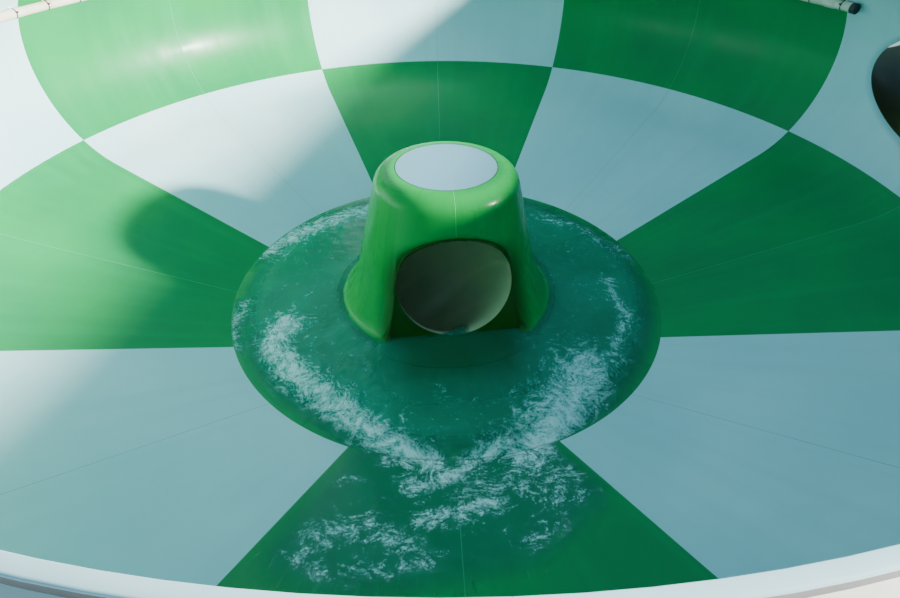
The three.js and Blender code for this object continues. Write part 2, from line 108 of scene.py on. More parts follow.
def outwards(p):
    # a closed patch is turned so that its signed volume, the sum of a.(b x c)/6, is positive
    a, b, c, d = (p["verts"][p["faces"][:, k]] for k in range(4))
    if np.einsum("ij,ij->", a, np.cross(b, c) + np.cross(c, d)) < 0:
        p["faces"], p["uv"] = p["faces"][:, ::-1], p["uv"][:, ::-1]
    return p


def shell(inner, outer, uv=None, innerMat=0, outerMat=1, wrapRows=False):
    # two facing grids joined along their borders into one closed skin
    rows, cols = inner.shape[:2]
    count = rows * cols
    quads = gridQuads(rows, cols, wrapRows)
    index = np.arange(count).reshape(rows, cols)
    if wrapRows:
        index = np.vstack([index, index[:1]])
    lines = [index[:, 0], index[::-1, -1]] + ([] if wrapRows else [index[0, ::-1], index[-1]])
    borders = [stacked(a[:-1], a[1:], a[1:] + count, a[:-1] + count) for a in lines]
    faces = np.concatenate([quads, quads[:, ::-1] + count] + borders)
    sizes = (innerMat, len(quads)), (outerMat, len(quads)), (1, len(faces) - 2 * len(quads))
    mats = np.concatenate([np.resize(mat, size) for mat, size in sizes])
    both = None if uv is None else np.stack([uv, uv])
    return outwards(patch(np.stack([inner, outer]), faces, mats, both))


def loft(rings, wrapRows=False, mat=0):
    # closed outlines one after another; open ends are drawn in to their middle points
    rings = np.asarray(rings, float)
    if not wrapRows:
        ends = [np.broadcast_to(ring.mean(0), (1, *ring.shape)) for ring in rings[[0, -1]]]
        rings = np.concatenate([ends[0], rings, ends[1]])
    return outwards(patch(rings, gridQuads(*rings.shape[:2], wrapRows, True), mat))


def fullTurn(sides):
    # the angle 2 pi k / sides for each side k
    return 2 * np.pi * np.arange(sides) / sides


def circle(sides, radius=1.0, start=0.0):
    # radius (cos, sin) of the start angle and each side's angle
    angle = np.radians(start) + fullTurn(sides)
    return radius * stacked(np.cos(angle), np.sin(angle))


def turned(sides, steps, mat=0):
    # a solid turned about Z from its [z, radius] steps
    return loft([np.insert(circle(sides, r), 2, z, 1) for z, r in steps], mat=mat)


def upright(ring, low, high):
    # a solid over an outline; its top may follow a height for each corner
    return loft([np.insert(ring, 2, z, 1) for z in (low, high)])


def roundedBox(width, height, corner, steps=3):
    # a rectangle whose four corners are quarter circles
    angle = np.radians(np.linspace(0, 90, steps + 1) + 90 * np.arange(4)[:, None])
    middles = np.array([(1, 1), (-1, 1), (-1, -1), (1, -1)]) * [width / 2 - corner, height / 2 - corner]
    return (middles[:, None] + corner * stacked(np.cos(angle), np.sin(angle))).reshape(-1, 2)


def join(patches):
    # patches put one after the other, each one's faces counted on from the points before it
    starts = np.cumsum([0] + [len(p["verts"]) for p in patches[:-1]])
    made = {key: np.concatenate([p[key] for p in patches]) for key in ("verts", "mat", "uv")}
    made["faces"] = np.concatenate([p["faces"] + start for p, start in zip(patches, starts)])
    return made


def repeatPatch(p, matrices):
    # one small patch placed by each 4 x 4 matrix
    matrices = np.asarray(matrices, float)
    verts = np.einsum("kij,nj->kni", matrices[:, :3, :3], p["verts"]) + matrices[:, None, :3, 3]
    return join([{**p, "verts": places} for places in verts])


sharpAngle = np.radians(32)


def meshFrom(name, p):
    # faces whose neighbouring corners coincide lose one of them; those left with two are dropped
    keep = p["faces"] != np.roll(p["faces"], -1, 1)
    solid = keep.sum(1) > 2
    faces, mats, uv, keep = p["faces"][solid], p["mat"][solid], p["uv"][solid], keep[solid]
    mesh = bpy.data.meshes.new(name)
    rows = [face[kept].tolist() for face, kept in zip(faces, keep)]
    mesh.from_pydata(p["verts"].tolist(), [], rows, shade_flat=False)
    mesh.polygons.foreach_set("material_index", mats.astype(np.int32))
    mesh.uv_layers.new(name="surface").data.foreach_set("uv", uv[keep].astype(np.float32).ravel())
    mesh.validate()
    mesh.set_sharp_from_angle(angle=sharpAngle)
    return mesh


def placeObject(name, data):
    # an object at the origin that shows the data
    made = bpy.data.objects.new(name, data)
    bpy.context.scene.collection.objects.link(made)
    return made


def makePiece(name, patches, materials, nodes=()):
    # patches become one mesh that rides on the fixed body
    piece = placeObject(name, meshFrom(name, join(patches)))
    for material in materials:
        piece.data.materials.append(material)
    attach(piece, "root")
    if nodes:
        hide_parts(*nodes)
    return piece


def makeCutter(name, rings):
    # a closed solid through the rings, to cut a piece with
    return placeObject(name, meshFrom(name, loft(rings)))


def cutBy(piece, cutter):
    # the piece's mesh becomes the difference of itself and the cutter
    modifier = piece.modifiers.new("cut", "BOOLEAN")
    modifier.operation, modifier.solver, modifier.object = "DIFFERENCE", "EXACT", cutter
    made = bpy.data.meshes.new_from_object(piece.evaluated_get(bpy.context.evaluated_depsgraph_get()))
    piece.modifiers.clear()
    piece.data = made
    made.set_sharp_from_angle(angle=sharpAngle)


def markPoints(piece, name, values):
    # values of each corner's place, kept as an attribute that a material reads
    mesh = piece.data
    places = np.empty(len(mesh.vertices) * 3, np.float32)
    mesh.vertices.foreach_get("co", places)
    layer = mesh.attributes.new(name, "FLOAT", "POINT")
    layer.data.foreach_set("value", values(places.reshape(-1, 3).astype(float)).astype(np.float32))


# The bowl's section lines, as [r, z] rows

def bendLine(outside, angles):
    # the wall's arc: centre (bendR, bendZ), radius bendRadius + outside
    angle = np.radians(np.atleast_1d(angles))
    r = bendRadius + np.asarray(outside)
    return stacked(bendR + r * np.cos(angle), bendZ + r * np.sin(angle))


def dishLine(below, radii):
    # the cone: z = (r - floorR) tan(slope), less the depth below it over cos(slope)
    radii = np.atleast_1d(radii)
    return stacked(radii, (radii - floorR) * np.tan(slope) - below / np.cos(slope))


def ways(angles):
    # (sin, cos) of plan angles in degrees: 0 points along Y and 90 along X
    angle = np.radians(np.atleast_1d(angles))
    return stacked(np.sin(angle), np.cos(angle))


def aroundZ(line, angles):
    # each [r, z] row carried to each plan angle: (angles, rows, 3)
    way = ways(angles)[:, None]
    return stacked(line[:, 0] * way[..., 0], line[:, 0] * way[..., 1], line[:, 1])


def aroundAxis(line, angles):
    # the same about the upright line through the middle of the bowl floor
    return aroundZ(line, angles) + floorMiddle


def surfaceUv(line, angles, radius):
    # metres round the bowl at a given radius, and metres along the section
    return np.stack(np.meshgrid(np.radians(angles) * radius, lengthsAlong(line), indexing="ij"), -1)


# Materials

def feed(node, inputs):
    # sockets are linked to the named inputs, and plain values are set there
    for key, value in inputs.items():
        if isinstance(value, bpy.types.NodeSocket):
            node.id_data.links.new(value, node.inputs[key])
        else:
            node.inputs[key].default_value = value


def addNode(near, kind, inputs, **values):
    # a node in the tree that the nearby node or socket belongs to
    node = near.id_data.nodes.new(kind)
    for key, value in values.items():
        setattr(node, key, value)
    feed(node, inputs)
    return node


def newMaterial(name):
    # with its shader, places in space and places on the surface
    material = bpy.data.materials.new(name)
    material.use_nodes = True
    shader = material.node_tree.nodes["Principled BSDF"]
    coords = addNode(shader, "ShaderNodeTexCoord", {}).outputs
    return material, shader, coords["Object"], coords["UV"]


def noise(vector, scale, detail=3.0, roughness=0.5):
    # noise at so many waves a metre, read at the vector
    inputs = {"Vector": vector, "Scale": scale, "Detail": detail, "Roughness": roughness}
    return addNode(vector, "ShaderNodeTexNoise", inputs).outputs["Fac"]


def ramp(value, low, high, start=0.0, end=1.0):
    # a straight line from low to high as value goes from start to end
    inputs = {"Value": value, "From Min": start, "From Max": end, "To Min": low, "To Max": high}
    return addNode(value, "ShaderNodeMapRange", inputs).outputs[0]


def mathsOf(operation, a, b):
    # one step of arithmetic on two values
    return addNode(a, "ShaderNodeMath", {0: a, 1: b}, operation=operation).outputs[0]


def blend(factor, first, second):
    # inputs 0, 6 and 7 of a mixing node are its factor and its two colours
    first, second = ((*tone, 1.0) if isinstance(tone, tuple) else tone for tone in (first, second))
    return addNode(factor, "ShaderNodeMix", {0: factor, 6: first, 7: second}, data_type="RGBA").outputs[2]


def marked(shader, name):
    # the value that a mesh carries on its points under this name
    return addNode(shader, "ShaderNodeAttribute", {}, attribute_name=name).outputs["Fac"]


def addBump(shader, height, strength, distance):
    # the shader's surface tilted by the slope of a height
    bump = addNode(shader, "ShaderNodeBump", {"Height": height, "Strength": strength, "Distance": distance})
    feed(shader, {"Normal": bump.outputs[0]})


gelcoat = {"coat": 0.04, "coatRoughness": 0.16, "gloss": 0.15, "wave": 0.0030, "mottle": 0.8,
           "streaks": (4.5, 0.30, 1.0), "fine": 38.0, "waves": 1.6}


def gelcoatMaterial(name, colour, shade, stain, roughness=(0.30, 0.46), stained=0.35, coat=gelcoat["coat"]):
    # moulded gelcoat: slow changes of tone, soft runs down the slope, slight waves in the gloss
    material, shader, place, surface = newMaterial(name)
    stretched = addNode(shader, "ShaderNodeMapping", {"Vector": surface, "Scale": gelcoat["streaks"]})
    runs = noise(stretched.outputs[0], 1.0, 3.0, 0.45)
    tone = blend(ramp(noise(place, gelcoat["mottle"]), 0.0, 1.0, 0.36, 0.66), colour, shade)
    feed(shader, {"Base Color": blend(ramp(runs, 0.0, stained, 0.46, 0.80), tone, stain),
                  "Roughness": ramp(runs, *roughness, 0.40, 0.72), "Specular IOR Level": gelcoat["gloss"],
                  "Coat Weight": coat, "Coat Roughness": gelcoat["coatRoughness"]})
    fine = ramp(noise(place, gelcoat["fine"], 4.0, 0.6), 0.0, 0.012)
    addBump(shader, mathsOf("ADD", noise(place, gelcoat["waves"], 2.0, 0.4), fine), 1.0, gelcoat["wave"])
    return material


def towerMaterial(name, colour, shade, stain, olive):
    # painted shade: the gelcoat turns olive where the points are marked as near the arch
    material = gelcoatMaterial(name, colour, shade, stain, (0.26, 0.40), 0.25, 0.10)
    shader = material.node_tree.nodes["Principled BSDF"]
    base = shader.inputs["Base Color"].links[0].from_socket
    feed(shader, {"Base Color": blend(marked(shader, "archShade"), base, olive)})
    return material


def waterMaterial(name, deep, bright, halo, thinnest):
    # teal water; the foam attribute is broken up by two noises into lace and specks, and thinnest is
    # how much of the water shows where there is no foam
    material, shader, place, _ = newMaterial(name)
    bent = addNode(shader, "ShaderNodeTexNoise", {"Vector": place, "Scale": 1.7, "Detail": 2.0})
    moved = addNode(shader, "ShaderNodeVectorMath", {0: bent.outputs["Color"], 1: (0.9, 0.9, 0.9)},
                    operation="MULTIPLY")
    warped = addNode(shader, "ShaderNodeVectorMath", {0: place, 1: moved.outputs[0]}, operation="ADD")
    warped = warped.outputs[0]
    lace = ramp(noise(warped, 8.5, 10.0, 0.78), -1.25, 1.25, 0.2, 0.8)
    specks = ramp(noise(place, 40.0, 5.0, 0.75), -0.55, 0.55, 0.2, 0.8)
    broken = mathsOf("ADD", marked(shader, "foam"), mathsOf("ADD", lace, specks))
    mask = ramp(broken, 0.0, 0.97, 0.52, 1.30)
    tone = blend(ramp(noise(warped, 1.4, 4.0), 0.0, 0.8, 0.4, 0.7), deep, bright)
    tone = blend(ramp(broken, 0.0, 0.85, 0.25, 0.75), tone, halo)
    feed(shader, {"Base Color": blend(mask, tone, (0.86, 1.0, 0.98)), "Roughness": ramp(mask, 0.05, 0.55),
                  "IOR": 1.33, "Specular IOR Level": 0.28,
                  "Alpha": mathsOf("MULTIPLY", ramp(mask, thinnest, 1.0), marked(shader, "reach"))})
    addBump(shader, mathsOf("ADD", noise(place, 11.0, 4.0, 0.6), ramp(mask, 0.0, 0.5)), 0.7, 0.014)
    return material


def steelMaterial(name, colour, dark):
    # hot-dip zinc: large pale spangle over a dull grey
    material, shader, place, _ = newMaterial(name)
    spangle = addNode(shader, "ShaderNodeTexVoronoi", {"Vector": place, "Scale": 42.0}, feature="F1")
    fine = noise(place, 9.0, 4.0, 0.6)
    tone = blend(mathsOf("MULTIPLY", spangle.outputs["Color"], 0.5), colour, dark)
    feed(shader, {"Base Color": blend(ramp(fine, 0.0, 0.6, 0.5, 0.8), tone, (0.30, 0.29, 0.27)),
                  "Metallic": 0.75, "Roughness": ramp(fine, 0.42, 0.66)})
    addBump(shader, fine, 0.2, 0.001)
    return material


def coarseMaterial(name, colour, worn, roughness, cloud, grain, bump, metal=0.0):
    # two tones in soft patches under a fine grain
    material, shader, place, _ = newMaterial(name)
    tooth = noise(place, *grain)
    feed(shader, {"Base Color": blend(ramp(noise(place, *cloud[0]), *cloud[1]), colour, worn),
                  "Roughness": ramp(tooth, *roughness), "Metallic": metal})
    addBump(shader, tooth, *bump)
    return material


def plainMaterial(name, colour, worn, roughness, grain=60.0, bump=0.0008, metal=0.0):
    # one moulded or rubbery finish, scuffed in places
    return coarseMaterial(name, colour, worn, (roughness - 0.08, roughness + 0.12),
                          ((3.0, 4.0, 0.6), (0.0, 1.0, 0.42, 0.72)), (grain, 3.0, 0.6), (0.4, bump), metal)


def backMaterial(name, colour, dirt):
    # the unpolished outside of the mouldings: a sprayed coat over glass strands
    return coarseMaterial(name, colour, dirt, (0.38, 0.62), ((1.3, 5.0, 0.6), (0.0, 0.7, 0.45, 0.75)),
                          (55.0, 5.0, 0.7), (0.35, 0.0015))


greenTones = (0.0, 0.285, 0.070), (0.0, 0.235, 0.068), (0.0, 0.340, 0.105)
green = gelcoatMaterial("greenGelcoat", *greenTones)
# the floor's gelcoat turns to a painted olive shade before the arch
floorGreen = towerMaterial("floorGelcoat", *greenTones, (0.022, 0.062, 0.006))
# partly painted shade: the white gelcoat carries a teal tint that stands for the bluish shade
white = gelcoatMaterial("whiteGelcoatTealShade", (0.52, 0.76, 0.80), (0.44, 0.70, 0.76), (0.42, 0.64, 0.66))
towerGreen = towerMaterial("towerGelcoat", (0.0, 0.400, 0.060), (0.0, 0.340, 0.064), (0.01, 0.44, 0.09),
                           (0.032, 0.085, 0.007))
# painted shade: the pocket behind the arch is a dark olive standing for the shade inside it
pocketShade = gelcoatMaterial("pocketShadeGelcoat", (0.034, 0.090, 0.008), (0.022, 0.066, 0.008),
                              (0.05, 0.11, 0.02), (0.25, 0.45))
# painted shade: the cap's white is darkened and blued
capShadedWhite = gelcoatMaterial("capGelcoatShaded", (0.19, 0.40, 0.50), (0.17, 0.37, 0.46), (0.24, 0.42, 0.48),
                           (0.45, 0.60))
# partly painted light: the exit tube's pale inside is tinted warm yellow to stand in for the dim olive light
# within it
tubeGreyPaintedLight = gelcoatMaterial("tubeGelcoatPaintedLight", (0.78, 0.72, 0.46), (0.62, 0.58, 0.38), (0.82, 0.74, 0.46),
                           (0.12, 0.28), 0.7, 0.25)
# painted shade: the entry tube's inside is a dark olive rather than its skin's green, standing for the shade
# within it
entryShade = gelcoatMaterial("entryInsideShade", (0.190, 0.175, 0.060), (0.130, 0.125, 0.040), (0.24, 0.21, 0.09),
                             (0.42, 0.56), 0.5, 0.0)
outside = backMaterial("panelBack", (0.74, 0.72, 0.64), (0.56, 0.54, 0.46))
tubeBack = backMaterial("tubeBack", (0.42, 0.44, 0.43), (0.30, 0.31, 0.29))
steel = steelMaterial("zincSteel", (0.50, 0.52, 0.53), (0.36, 0.38, 0.40))
boltSteel = plainMaterial("boltSteel", (0.52, 0.53, 0.54), (0.34, 0.33, 0.31), 0.36, 90.0, 0.0004, 0.9)
creamPipe = plainMaterial("creamPipe", (0.78, 0.72, 0.58), (0.66, 0.58, 0.42), 0.42)
blackRubber = plainMaterial("blackStrap", (0.012, 0.012, 0.014), (0.035, 0.035, 0.035), 0.50)
# painted shade: the kerb's outer face is a dark grey standing for the shade it lies in
bandShade = plainMaterial("rimBandShade", (0.20, 0.21, 0.21), (0.15, 0.16, 0.16), 0.45)
seamOnGreen = plainMaterial("seamOnGreen", (0.045, 0.42, 0.19), (0.02, 0.34, 0.15), 0.5)
seamOnWhite = plainMaterial("seamOnWhite", (0.34, 0.47, 0.47), (0.26, 0.38, 0.38), 0.5)
seamDark = plainMaterial("seamDark", (0.01, 0.20, 0.08), (0.01, 0.16, 0.07), 0.5)
towerSeamLine = plainMaterial("towerSeamLine", (0.20, 0.62, 0.24), (0.12, 0.48, 0.18), 0.4)
poolSurface = waterMaterial("poolWater", (0.0, 0.255, 0.135), (0.0, 0.350, 0.205), (0.010, 0.460, 0.370),
                            0.86)
filmSurface = waterMaterial("filmWater", (0.0, 0.260, 0.150), (0.0, 0.320, 0.200), (0.010, 0.440, 0.350),
                            0.30)
finishes = (green, "green_gelcoat"), (white, "white_gelcoat")
print("materials made")


# Bolts

bolt = {"washer": 0.014, "washerHeight": 0.003, "head": 0.010, "headHeight": 0.009, "edge": 0.002}


def boltPatch(mat=0, size=1.0):
    # a washer and a six-sided head with a turned-down top, standing on z = 0
    wide, low, head, high, edge = (size * value for value in bolt.values())
    top = low + high
    return join([turned(12, [(0, wide), (low, wide)], mat),
                 turned(6, [(low, head), (top - edge, head), (top, 0.78 * head)], mat)])


def standing(points, normals):
    # matrices whose Z runs along each normal, at each point
    points = np.atleast_2d(points)
    z = np.broadcast_to(unit(normals), points.shape)
    guide = np.where(np.abs(z[:, 2:]) < 0.9, [[0.0, 0.0, 1.0]], [[1.0, 0.0, 0.0]])
    x = unit(np.cross(guide, z))
    made = np.tile(np.eye(4), (len(points), 1, 1))
    made[:, :3] = stacked(x, np.cross(z, x), z, points)
    return made


# Floor, dish and wall panels: gaps in metres, but jointGap and halfGap in degrees

panel = {"acrossSteps": 12, "dishSteps": 14, "bendSteps": 8, "wallSteps": 30, "fineSteps": 84,
         "fineAcross": 96, "seamGap": 0.0006, "edgeGap": 0.0004, "jointGap": 0.012, "halfGap": 0.008,
         "lap": 0.004, "ribDepth": ribDeep - 0.002, "ribTop": 44, "kerbCorners": (0.004, 0.012),
         "floorUv": 2.0, "bowlUv": 5.0}


def ringPatch(front, back, angles):
    # a flange or rib: two facing lines carried round together
    return shell(aroundAxis(front, angles), aroundAxis(back, angles), innerMat=1)


def panelAngles(index, steps=panel["acrossSteps"]):
    # even steps over one panel's plan angles, less half a seam's gap at each side
    gap = np.degrees(panel["seamGap"] / 2 / floorR)
    return np.linspace(index * bowl["panelAngle"] + gap, (index + 1) * bowl["panelAngle"] - gap, steps + 1)


def sidePatches(front, back, angles):
    # a rib down each side seam, as thick as the flanges at the section's middle
    width = np.degrees(ribThick / front[:, 0].mean())
    pairs = (angles[0], angles[0] + width), (angles[-1] - width, angles[-1])
    return [ringPatch(front, back, pair) for pair in pairs]


def sectorOdd(index):
    # colours change every second seam, so that a sector's middle lies on a multiple of 45 degrees
    return ((index + 1) // 2) % 2 == 1


def halfTurn(first, steps):
    # even steps over half a turn, less a gap at each end
    return np.linspace(first + panel["halfGap"], first + 180 - panel["halfGap"], steps + 1)


def buildFloor():
    # flat half rings with flanges down at both edges and along the straight seam
    outer, inner = floorR - panel["edgeGap"], bowl["holeRadius"]
    radii = np.linspace(inner, outer, 12)
    top = stacked(radii, 0 * radii)
    for name, node, first in (("floorBack", "floor_back", -90), ("floorFront", "floor_front", 90)):
        angles = halfTurn(first, 96)
        patches = [shell(aroundAxis(top, angles), aroundAxis(top - [0, skin], angles),
                         surfaceUv(top, angles, panel["floorUv"]))]
        for edge, inwards in ((outer, -ribThick), (inner, ribThick)):
            front = np.array([[edge, -skin / 2], [edge, -ribDeep]])
            patches.append(ringPatch(front, front + [inwards, 0], angles))
        patches += sidePatches(top - [0, skin / 2], top - [0, panel["ribDepth"]], angles)
        makePiece(name, patches, [floorGreen, outside], [node])


def dishSection(below):
    # the cone and the start of the bend, at a depth below the inner face
    foot = floorR + panel["edgeGap"]
    radii = np.linspace(foot, bendLine(0, bendStart)[0, 0], panel["dishSteps"])
    arc = np.linspace(bendStart, jointAngle - panel["jointGap"], panel["bendSteps"] + 1)[1:]
    flat = dishLine(below, radii + below * np.sin(slope))
    flat[0, 0] = max(flat[0, 0], foot)
    return np.concatenate([flat, bendLine(below, arc)])


def jointFlange(side):
    # the flange at the joint of dish and wall, on its lower (-1) or upper (1) side
    edge = jointAngle + side * panel["jointGap"]
    turns = 0, side * np.degrees(ribThick / bendRadius)
    return [bendLine([panel["lap"], ribDeep], edge + turn) for turn in turns]


def buildDish():
    # a sloping section turned through each panel, with flanges at foot and joint and ribs at its sides
    inner, outer, ribTop, ribBack = (dishSection(d) for d in (0.0, skin, skin / 2, panel["ribDepth"]))
    foot = floorR + panel["edgeGap"]
    footLines = [np.array([[foot + k * ribThick, -(k + 1) * panel["lap"]], [foot + k * ribThick, -ribDeep]])
                 for k in (0, 1)]
    for i in range(bowl["panels"]):
        number, angles = f"{i + 1:02d}", panelAngles(i)
        colour, slot = finishes[sectorOdd(i)]
        patches = [shell(aroundAxis(inner, angles), aroundAxis(outer, angles),
                         surfaceUv(inner, angles, panel["bowlUv"])),
                   ringPatch(*footLines, angles), ringPatch(*jointFlange(-1), angles)]
        patches += sidePatches(ribTop, ribBack, angles)
        makePiece(f"dishPanel{number}", patches, [colour, outside], [f"dish_panel_{number}"])


def wallSkin(angles, steps, shape=np.asarray):
    # the inner line runs up the wall and over the kerb; the outer line comes up the back to meet it
    seam, rim = jointAngle + panel["jointGap"], bowl["rimAngle"]
    (rimR, rimZ), = bendLine(0, rim)
    top, far = rimZ + bowl["rimHeight"], rimR + bowl["rimWidth"]
    middle = [[rimR + bowl["rimWidth"] / 2, top]]
    turn = np.radians(np.linspace(0, 90, 4))
    corners = [stacked(edge + side * r * (np.cos(turn) - 1), top + r * (np.sin(turn) - 1))
               for edge, side, r in zip((rimR, far), (-1, 1), panel["kerbCorners"])]
    kerbTurn = np.degrees(np.arccos((far - bendR) / (bendRadius + skin)))
    lines = [np.concatenate([bendLine(out, np.linspace(seam, end, steps + 1)), corner, middle])
             for out, end, corner in ((0, rim, corners[0]), (skin, kerbTurn, corners[1]))]
    rest = len(lines[0]) - 1 - steps
    # the kerb's outer face takes material 3, a grey that is painted shade
    mats = np.repeat([0, 2], [steps, rest]), np.repeat([1, 3, 2], [steps, 1, rest - 1])
    faces = [shape(aroundAxis(line, angles)) for line in lines]
    return shell(*faces, surfaceUv(lines[0], angles, panel["bowlUv"]), *mats)


def buildWall():
    # two panels are drawn on a finer grid, rolled outwards round the hole and cut by the tube's bore
    ribArc = np.linspace(jointAngle + panel["jointGap"], panel["ribTop"], 24)
    ribLines = bendLine(skin / 2, ribArc), bendLine(panel["ribDepth"], ribArc)
    radii = entry["radius"], entry["radius"] + skin + 0.0005
    bore, sleeve = (makeCutter("bore", [entryRing(entryTurns, r, u) for u in entry["cut"]]) for r in radii)
    for i in range(bowl["panels"]):
        pierced, number = i in entry["panels"], f"{i + 1:02d}"
        colour, slot = finishes[not sectorOdd(i)]
        angles = panelAngles(i, panel["fineAcross"]) if pierced else panelAngles(i)
        ribs = sidePatches(*ribLines, angles) + [ringPatch(*jointFlange(1), angles)]
        patches = [wallSkin(angles, panel["fineSteps"], rolled)]
        if not pierced:
            patches = [wallSkin(angles, panel["wallSteps"])] + ribs
        # material 3 is the kerb's grey painted shade
        wall = makePiece(f"wallPanel{number}", patches, [colour, outside, white, bandShade],
                         [f"wall_panel_{number}"])
        if pierced:
            cutBy(wall, bore)
            cutBy(makePiece(f"wallRibs{number}", ribs, [colour, outside]), sleeve)
    for cutter in (bore, sleeve):
        bpy.data.objects.remove(cutter)


# Joints of the entry and exit tubes

tubeFlange = {"width": 0.07, "thickness": 0.012, "gap": 0.0002, "bolts": 28, "boltPlace": 0.55,
              "boltGap": 0.0003}


def flange(ring, radius, ends):
    # a flat ring round a tube between two places along it, from the middle of its skin outwards
    low, wide = radius + skin / 2, radius + skin + tubeFlange["width"]
    return loft([ring(low, ends[0]), ring(wide, ends[0]), ring(wide, ends[1]), ring(low, ends[1])], True, 1)


def flangeBolts(centre, axis, radius):
    # bolts on a circle, heads on both faces of a joint
    reach = radius + skin + tubeFlange["width"] * tubeFlange["boltPlace"]
    axis, half = unit(axis), tubeFlange["thickness"] + tubeFlange["boltGap"]
    side, up = standing(centre, axis)[0, :3, :2].T
    points = carried(circle(tubeFlange["bolts"], reach, 180 / tubeFlange["bolts"]), centre, side, up)
    places = [standing(points + s * half * axis, s * axis) for s in (1, -1)]
    return repeatPatch(boltPatch(2), np.concatenate(places))


# Entry tube: its axis runs straight in plan and rises upstream, at a tangent to the wall where it ends

entry = {"tangentAngle": 112.2, "offset": 5.400, "drop": 0.150, "rise": 0.06, "radius": 0.670, "stub": 4.3,
         "length": 2.4, "panels": (3, 4), "lipReach": 0.075, "lipDepth": 0.055, "sides": 96,
         "rolls": (0.2, 4.6), "cut": (0.3, 4.6), "meets": (0.3, 4.2), "crossing": (0.12, 0.30)}
entryOut = np.append(ways(entry["tangentAngle"])[0], 0)
entryFoot = floorMiddle + entry["offset"] * entryOut + [0, 0, bendZ - entry["drop"]]
entryWay = np.array([-entryOut[1], entryOut[0], entry["rise"]])
entryUp = unit([0, 0, 1] - entryWay[2] * entryWay / (entryWay @ entryWay))
entryTurns = fullTurn(entry["sides"])


def outsideWall(points):
    # how far points lie outside the wall's inner face: sqrt((r - bendR)^2 + (z - bendZ)^2) - bendRadius
    x, y, z = np.moveaxis(points - floorMiddle, -1, 0)
    return np.hypot(np.hypot(x, y) - bendR, z - bendZ) - bendRadius


def entryPlace(points):
    # distance along the axis in plan, distance from the axis, and the direction round it
    away = points - entryFoot
    u = away @ entryWay / (entryWay @ entryWay)
    off = away - u[..., None] * entryWay
    return u, np.linalg.norm(off, axis=-1), np.arctan2(off @ entryUp, off @ entryOut)


def entryRing(theta, radius, u):
    # foot + u way + radius (cos theta out + sin theta up)
    theta, u = np.broadcast_arrays(theta, u)
    around = np.cos(theta)[..., None] * entryOut + np.sin(theta)[..., None] * entryUp
    return entryFoot + u[..., None] * entryWay + radius * around


def lipDip(theta, u, distance):
    # near the hole the wall rolls outwards by depth * crossing * (1 - distance / reach)^2, where crossing
    # grows from 0 to 1 with the angle at which the tube's line leaves the wall
    step = 0.02
    ahead, behind = (outsideWall(entryRing(theta, entry["radius"], u + s * step)) for s in (1, -1))
    near = np.clip(1 - distance / entry["lipReach"], 0, 1)
    least, more = entry["crossing"]
    return entry["lipDepth"] * smooth(((ahead - behind) / (2 * step) - least) / more) * near ** 2


def rolled(points):
    # moves wall points outwards along the section's normal by the dip
    u, distance, theta = entryPlace(points)
    first, last = entry["rolls"]
    dip = lipDip(theta, u, np.clip(distance - entry["radius"], 0, None)) * ((u > first) & (u < last))
    way = points - floorMiddle
    r = np.linalg.norm(way[..., :2], axis=-1, keepdims=True)
    normal = np.concatenate([way[..., :2] / r * (r - bendR), way[..., 2:] - bendZ], -1)
    return points + dip[..., None] * unit(normal)


def entryStart(radius, lift):
    # the place along each line of the tube where it meets the rolled wall, found by halving
    low, high = (np.full(entry["sides"], place) for place in entry["meets"])
    for _ in range(40):
        middle = (low + high) / 2
        out = outsideWall(entryRing(entryTurns, radius, middle)) > lift + lipDip(entryTurns, middle, 0.0)
        low, high = np.where(out, low, middle), np.where(out, middle, high)
    return high[:, None]


def entryTube(name, node, starts, end, rows, run, flanges):
    # each face goes from its own start to one end; run is where the surface's length starts and ends
    theta, share = entryTurns[:, None], np.linspace(0, 1, rows)
    faces = [entryRing(theta, entry["radius"] + out, start + share * (end - start))
             for out, start in zip((0, skin), starts)]
    uv = stacked(theta * entry["radius"], np.linspace(*run, rows))
    patches = [shell(*faces, uv, wrapRows=True)] + flanges
    # the inside takes an olive that is painted shade
    makePiece(name, patches, [entryShade, green, boltSteel], [node])


def buildEntry():
    # two round tubes along one line: from the wall's hole to the flanged joint, and on from it
    radius, wide, gap = entry["radius"], tubeFlange["thickness"], tubeFlange["gap"]
    end, first, last = entry["stub"] - gap, entry["stub"] + gap, entry["stub"] + entry["length"]
    rims = [flange(lambda r, u: entryRing(entryTurns, r, u), radius, ends)
            for ends in ((end - wide, end), (first, first + wide), (last - wide, last))]
    bolts = flangeBolts(entryFoot + entry["stub"] * entryWay, entryWay, radius)
    starts = entryStart(radius, 0.0), entryStart(radius + skin, skin)
    entryTube("entryTube1", "entry_tube_1", starts, end, 30, (0, 3), [rims[0], bolts])
    entryTube("entryTube2", "entry_tube_2", (first, first), last, 14, (first, last), rims[1:])


buildFloor()
buildDish()
buildWall()
buildEntry()
print("bowl and entry built")


# Cone tower, drawn in its own frame with the arch facing -Y and then turned towards +X

# Some of these sizes set the reach of the painted olive shade round the arch and on the floor before it
cone = {"turn": 4.9, "footRadius": 1.50, "baseRadius": 1.223, "taper": 0.2346, "height": 1.766,
        "flareTop": 0.62, "flareSoft": (0.125, 0.20), "flareSharp": 0.018, "shoulder": 0.24,
        "capRadius": 0.590, "capThickness": 0.012, "archRadius": 0.70, "archHeight": 0.585, "archFoot": 0.83,
        "pocket": 0.05, "lipReach": 0.13, "lipDepth": 0.085, "shadeReach": 0.24, "shadeTop": 0.30,
        "shadeMost": 0.94, "frontFrom": -0.2, "floorShadeAhead": (2.3, 0.9), "floorShadeAside": (1.1, 0.6), "floorShadeMost": 0.9,
        "mouthSetback": 0.96, "mouthPlate": 0.012, "tubeRadius": 0.67, "clear": 0.0003, "lap": 0.004,
        "skinGaps": (0.003, 0.014), "cut": (-2.2, -0.35)}
lean = np.arctan(cone["taper"])
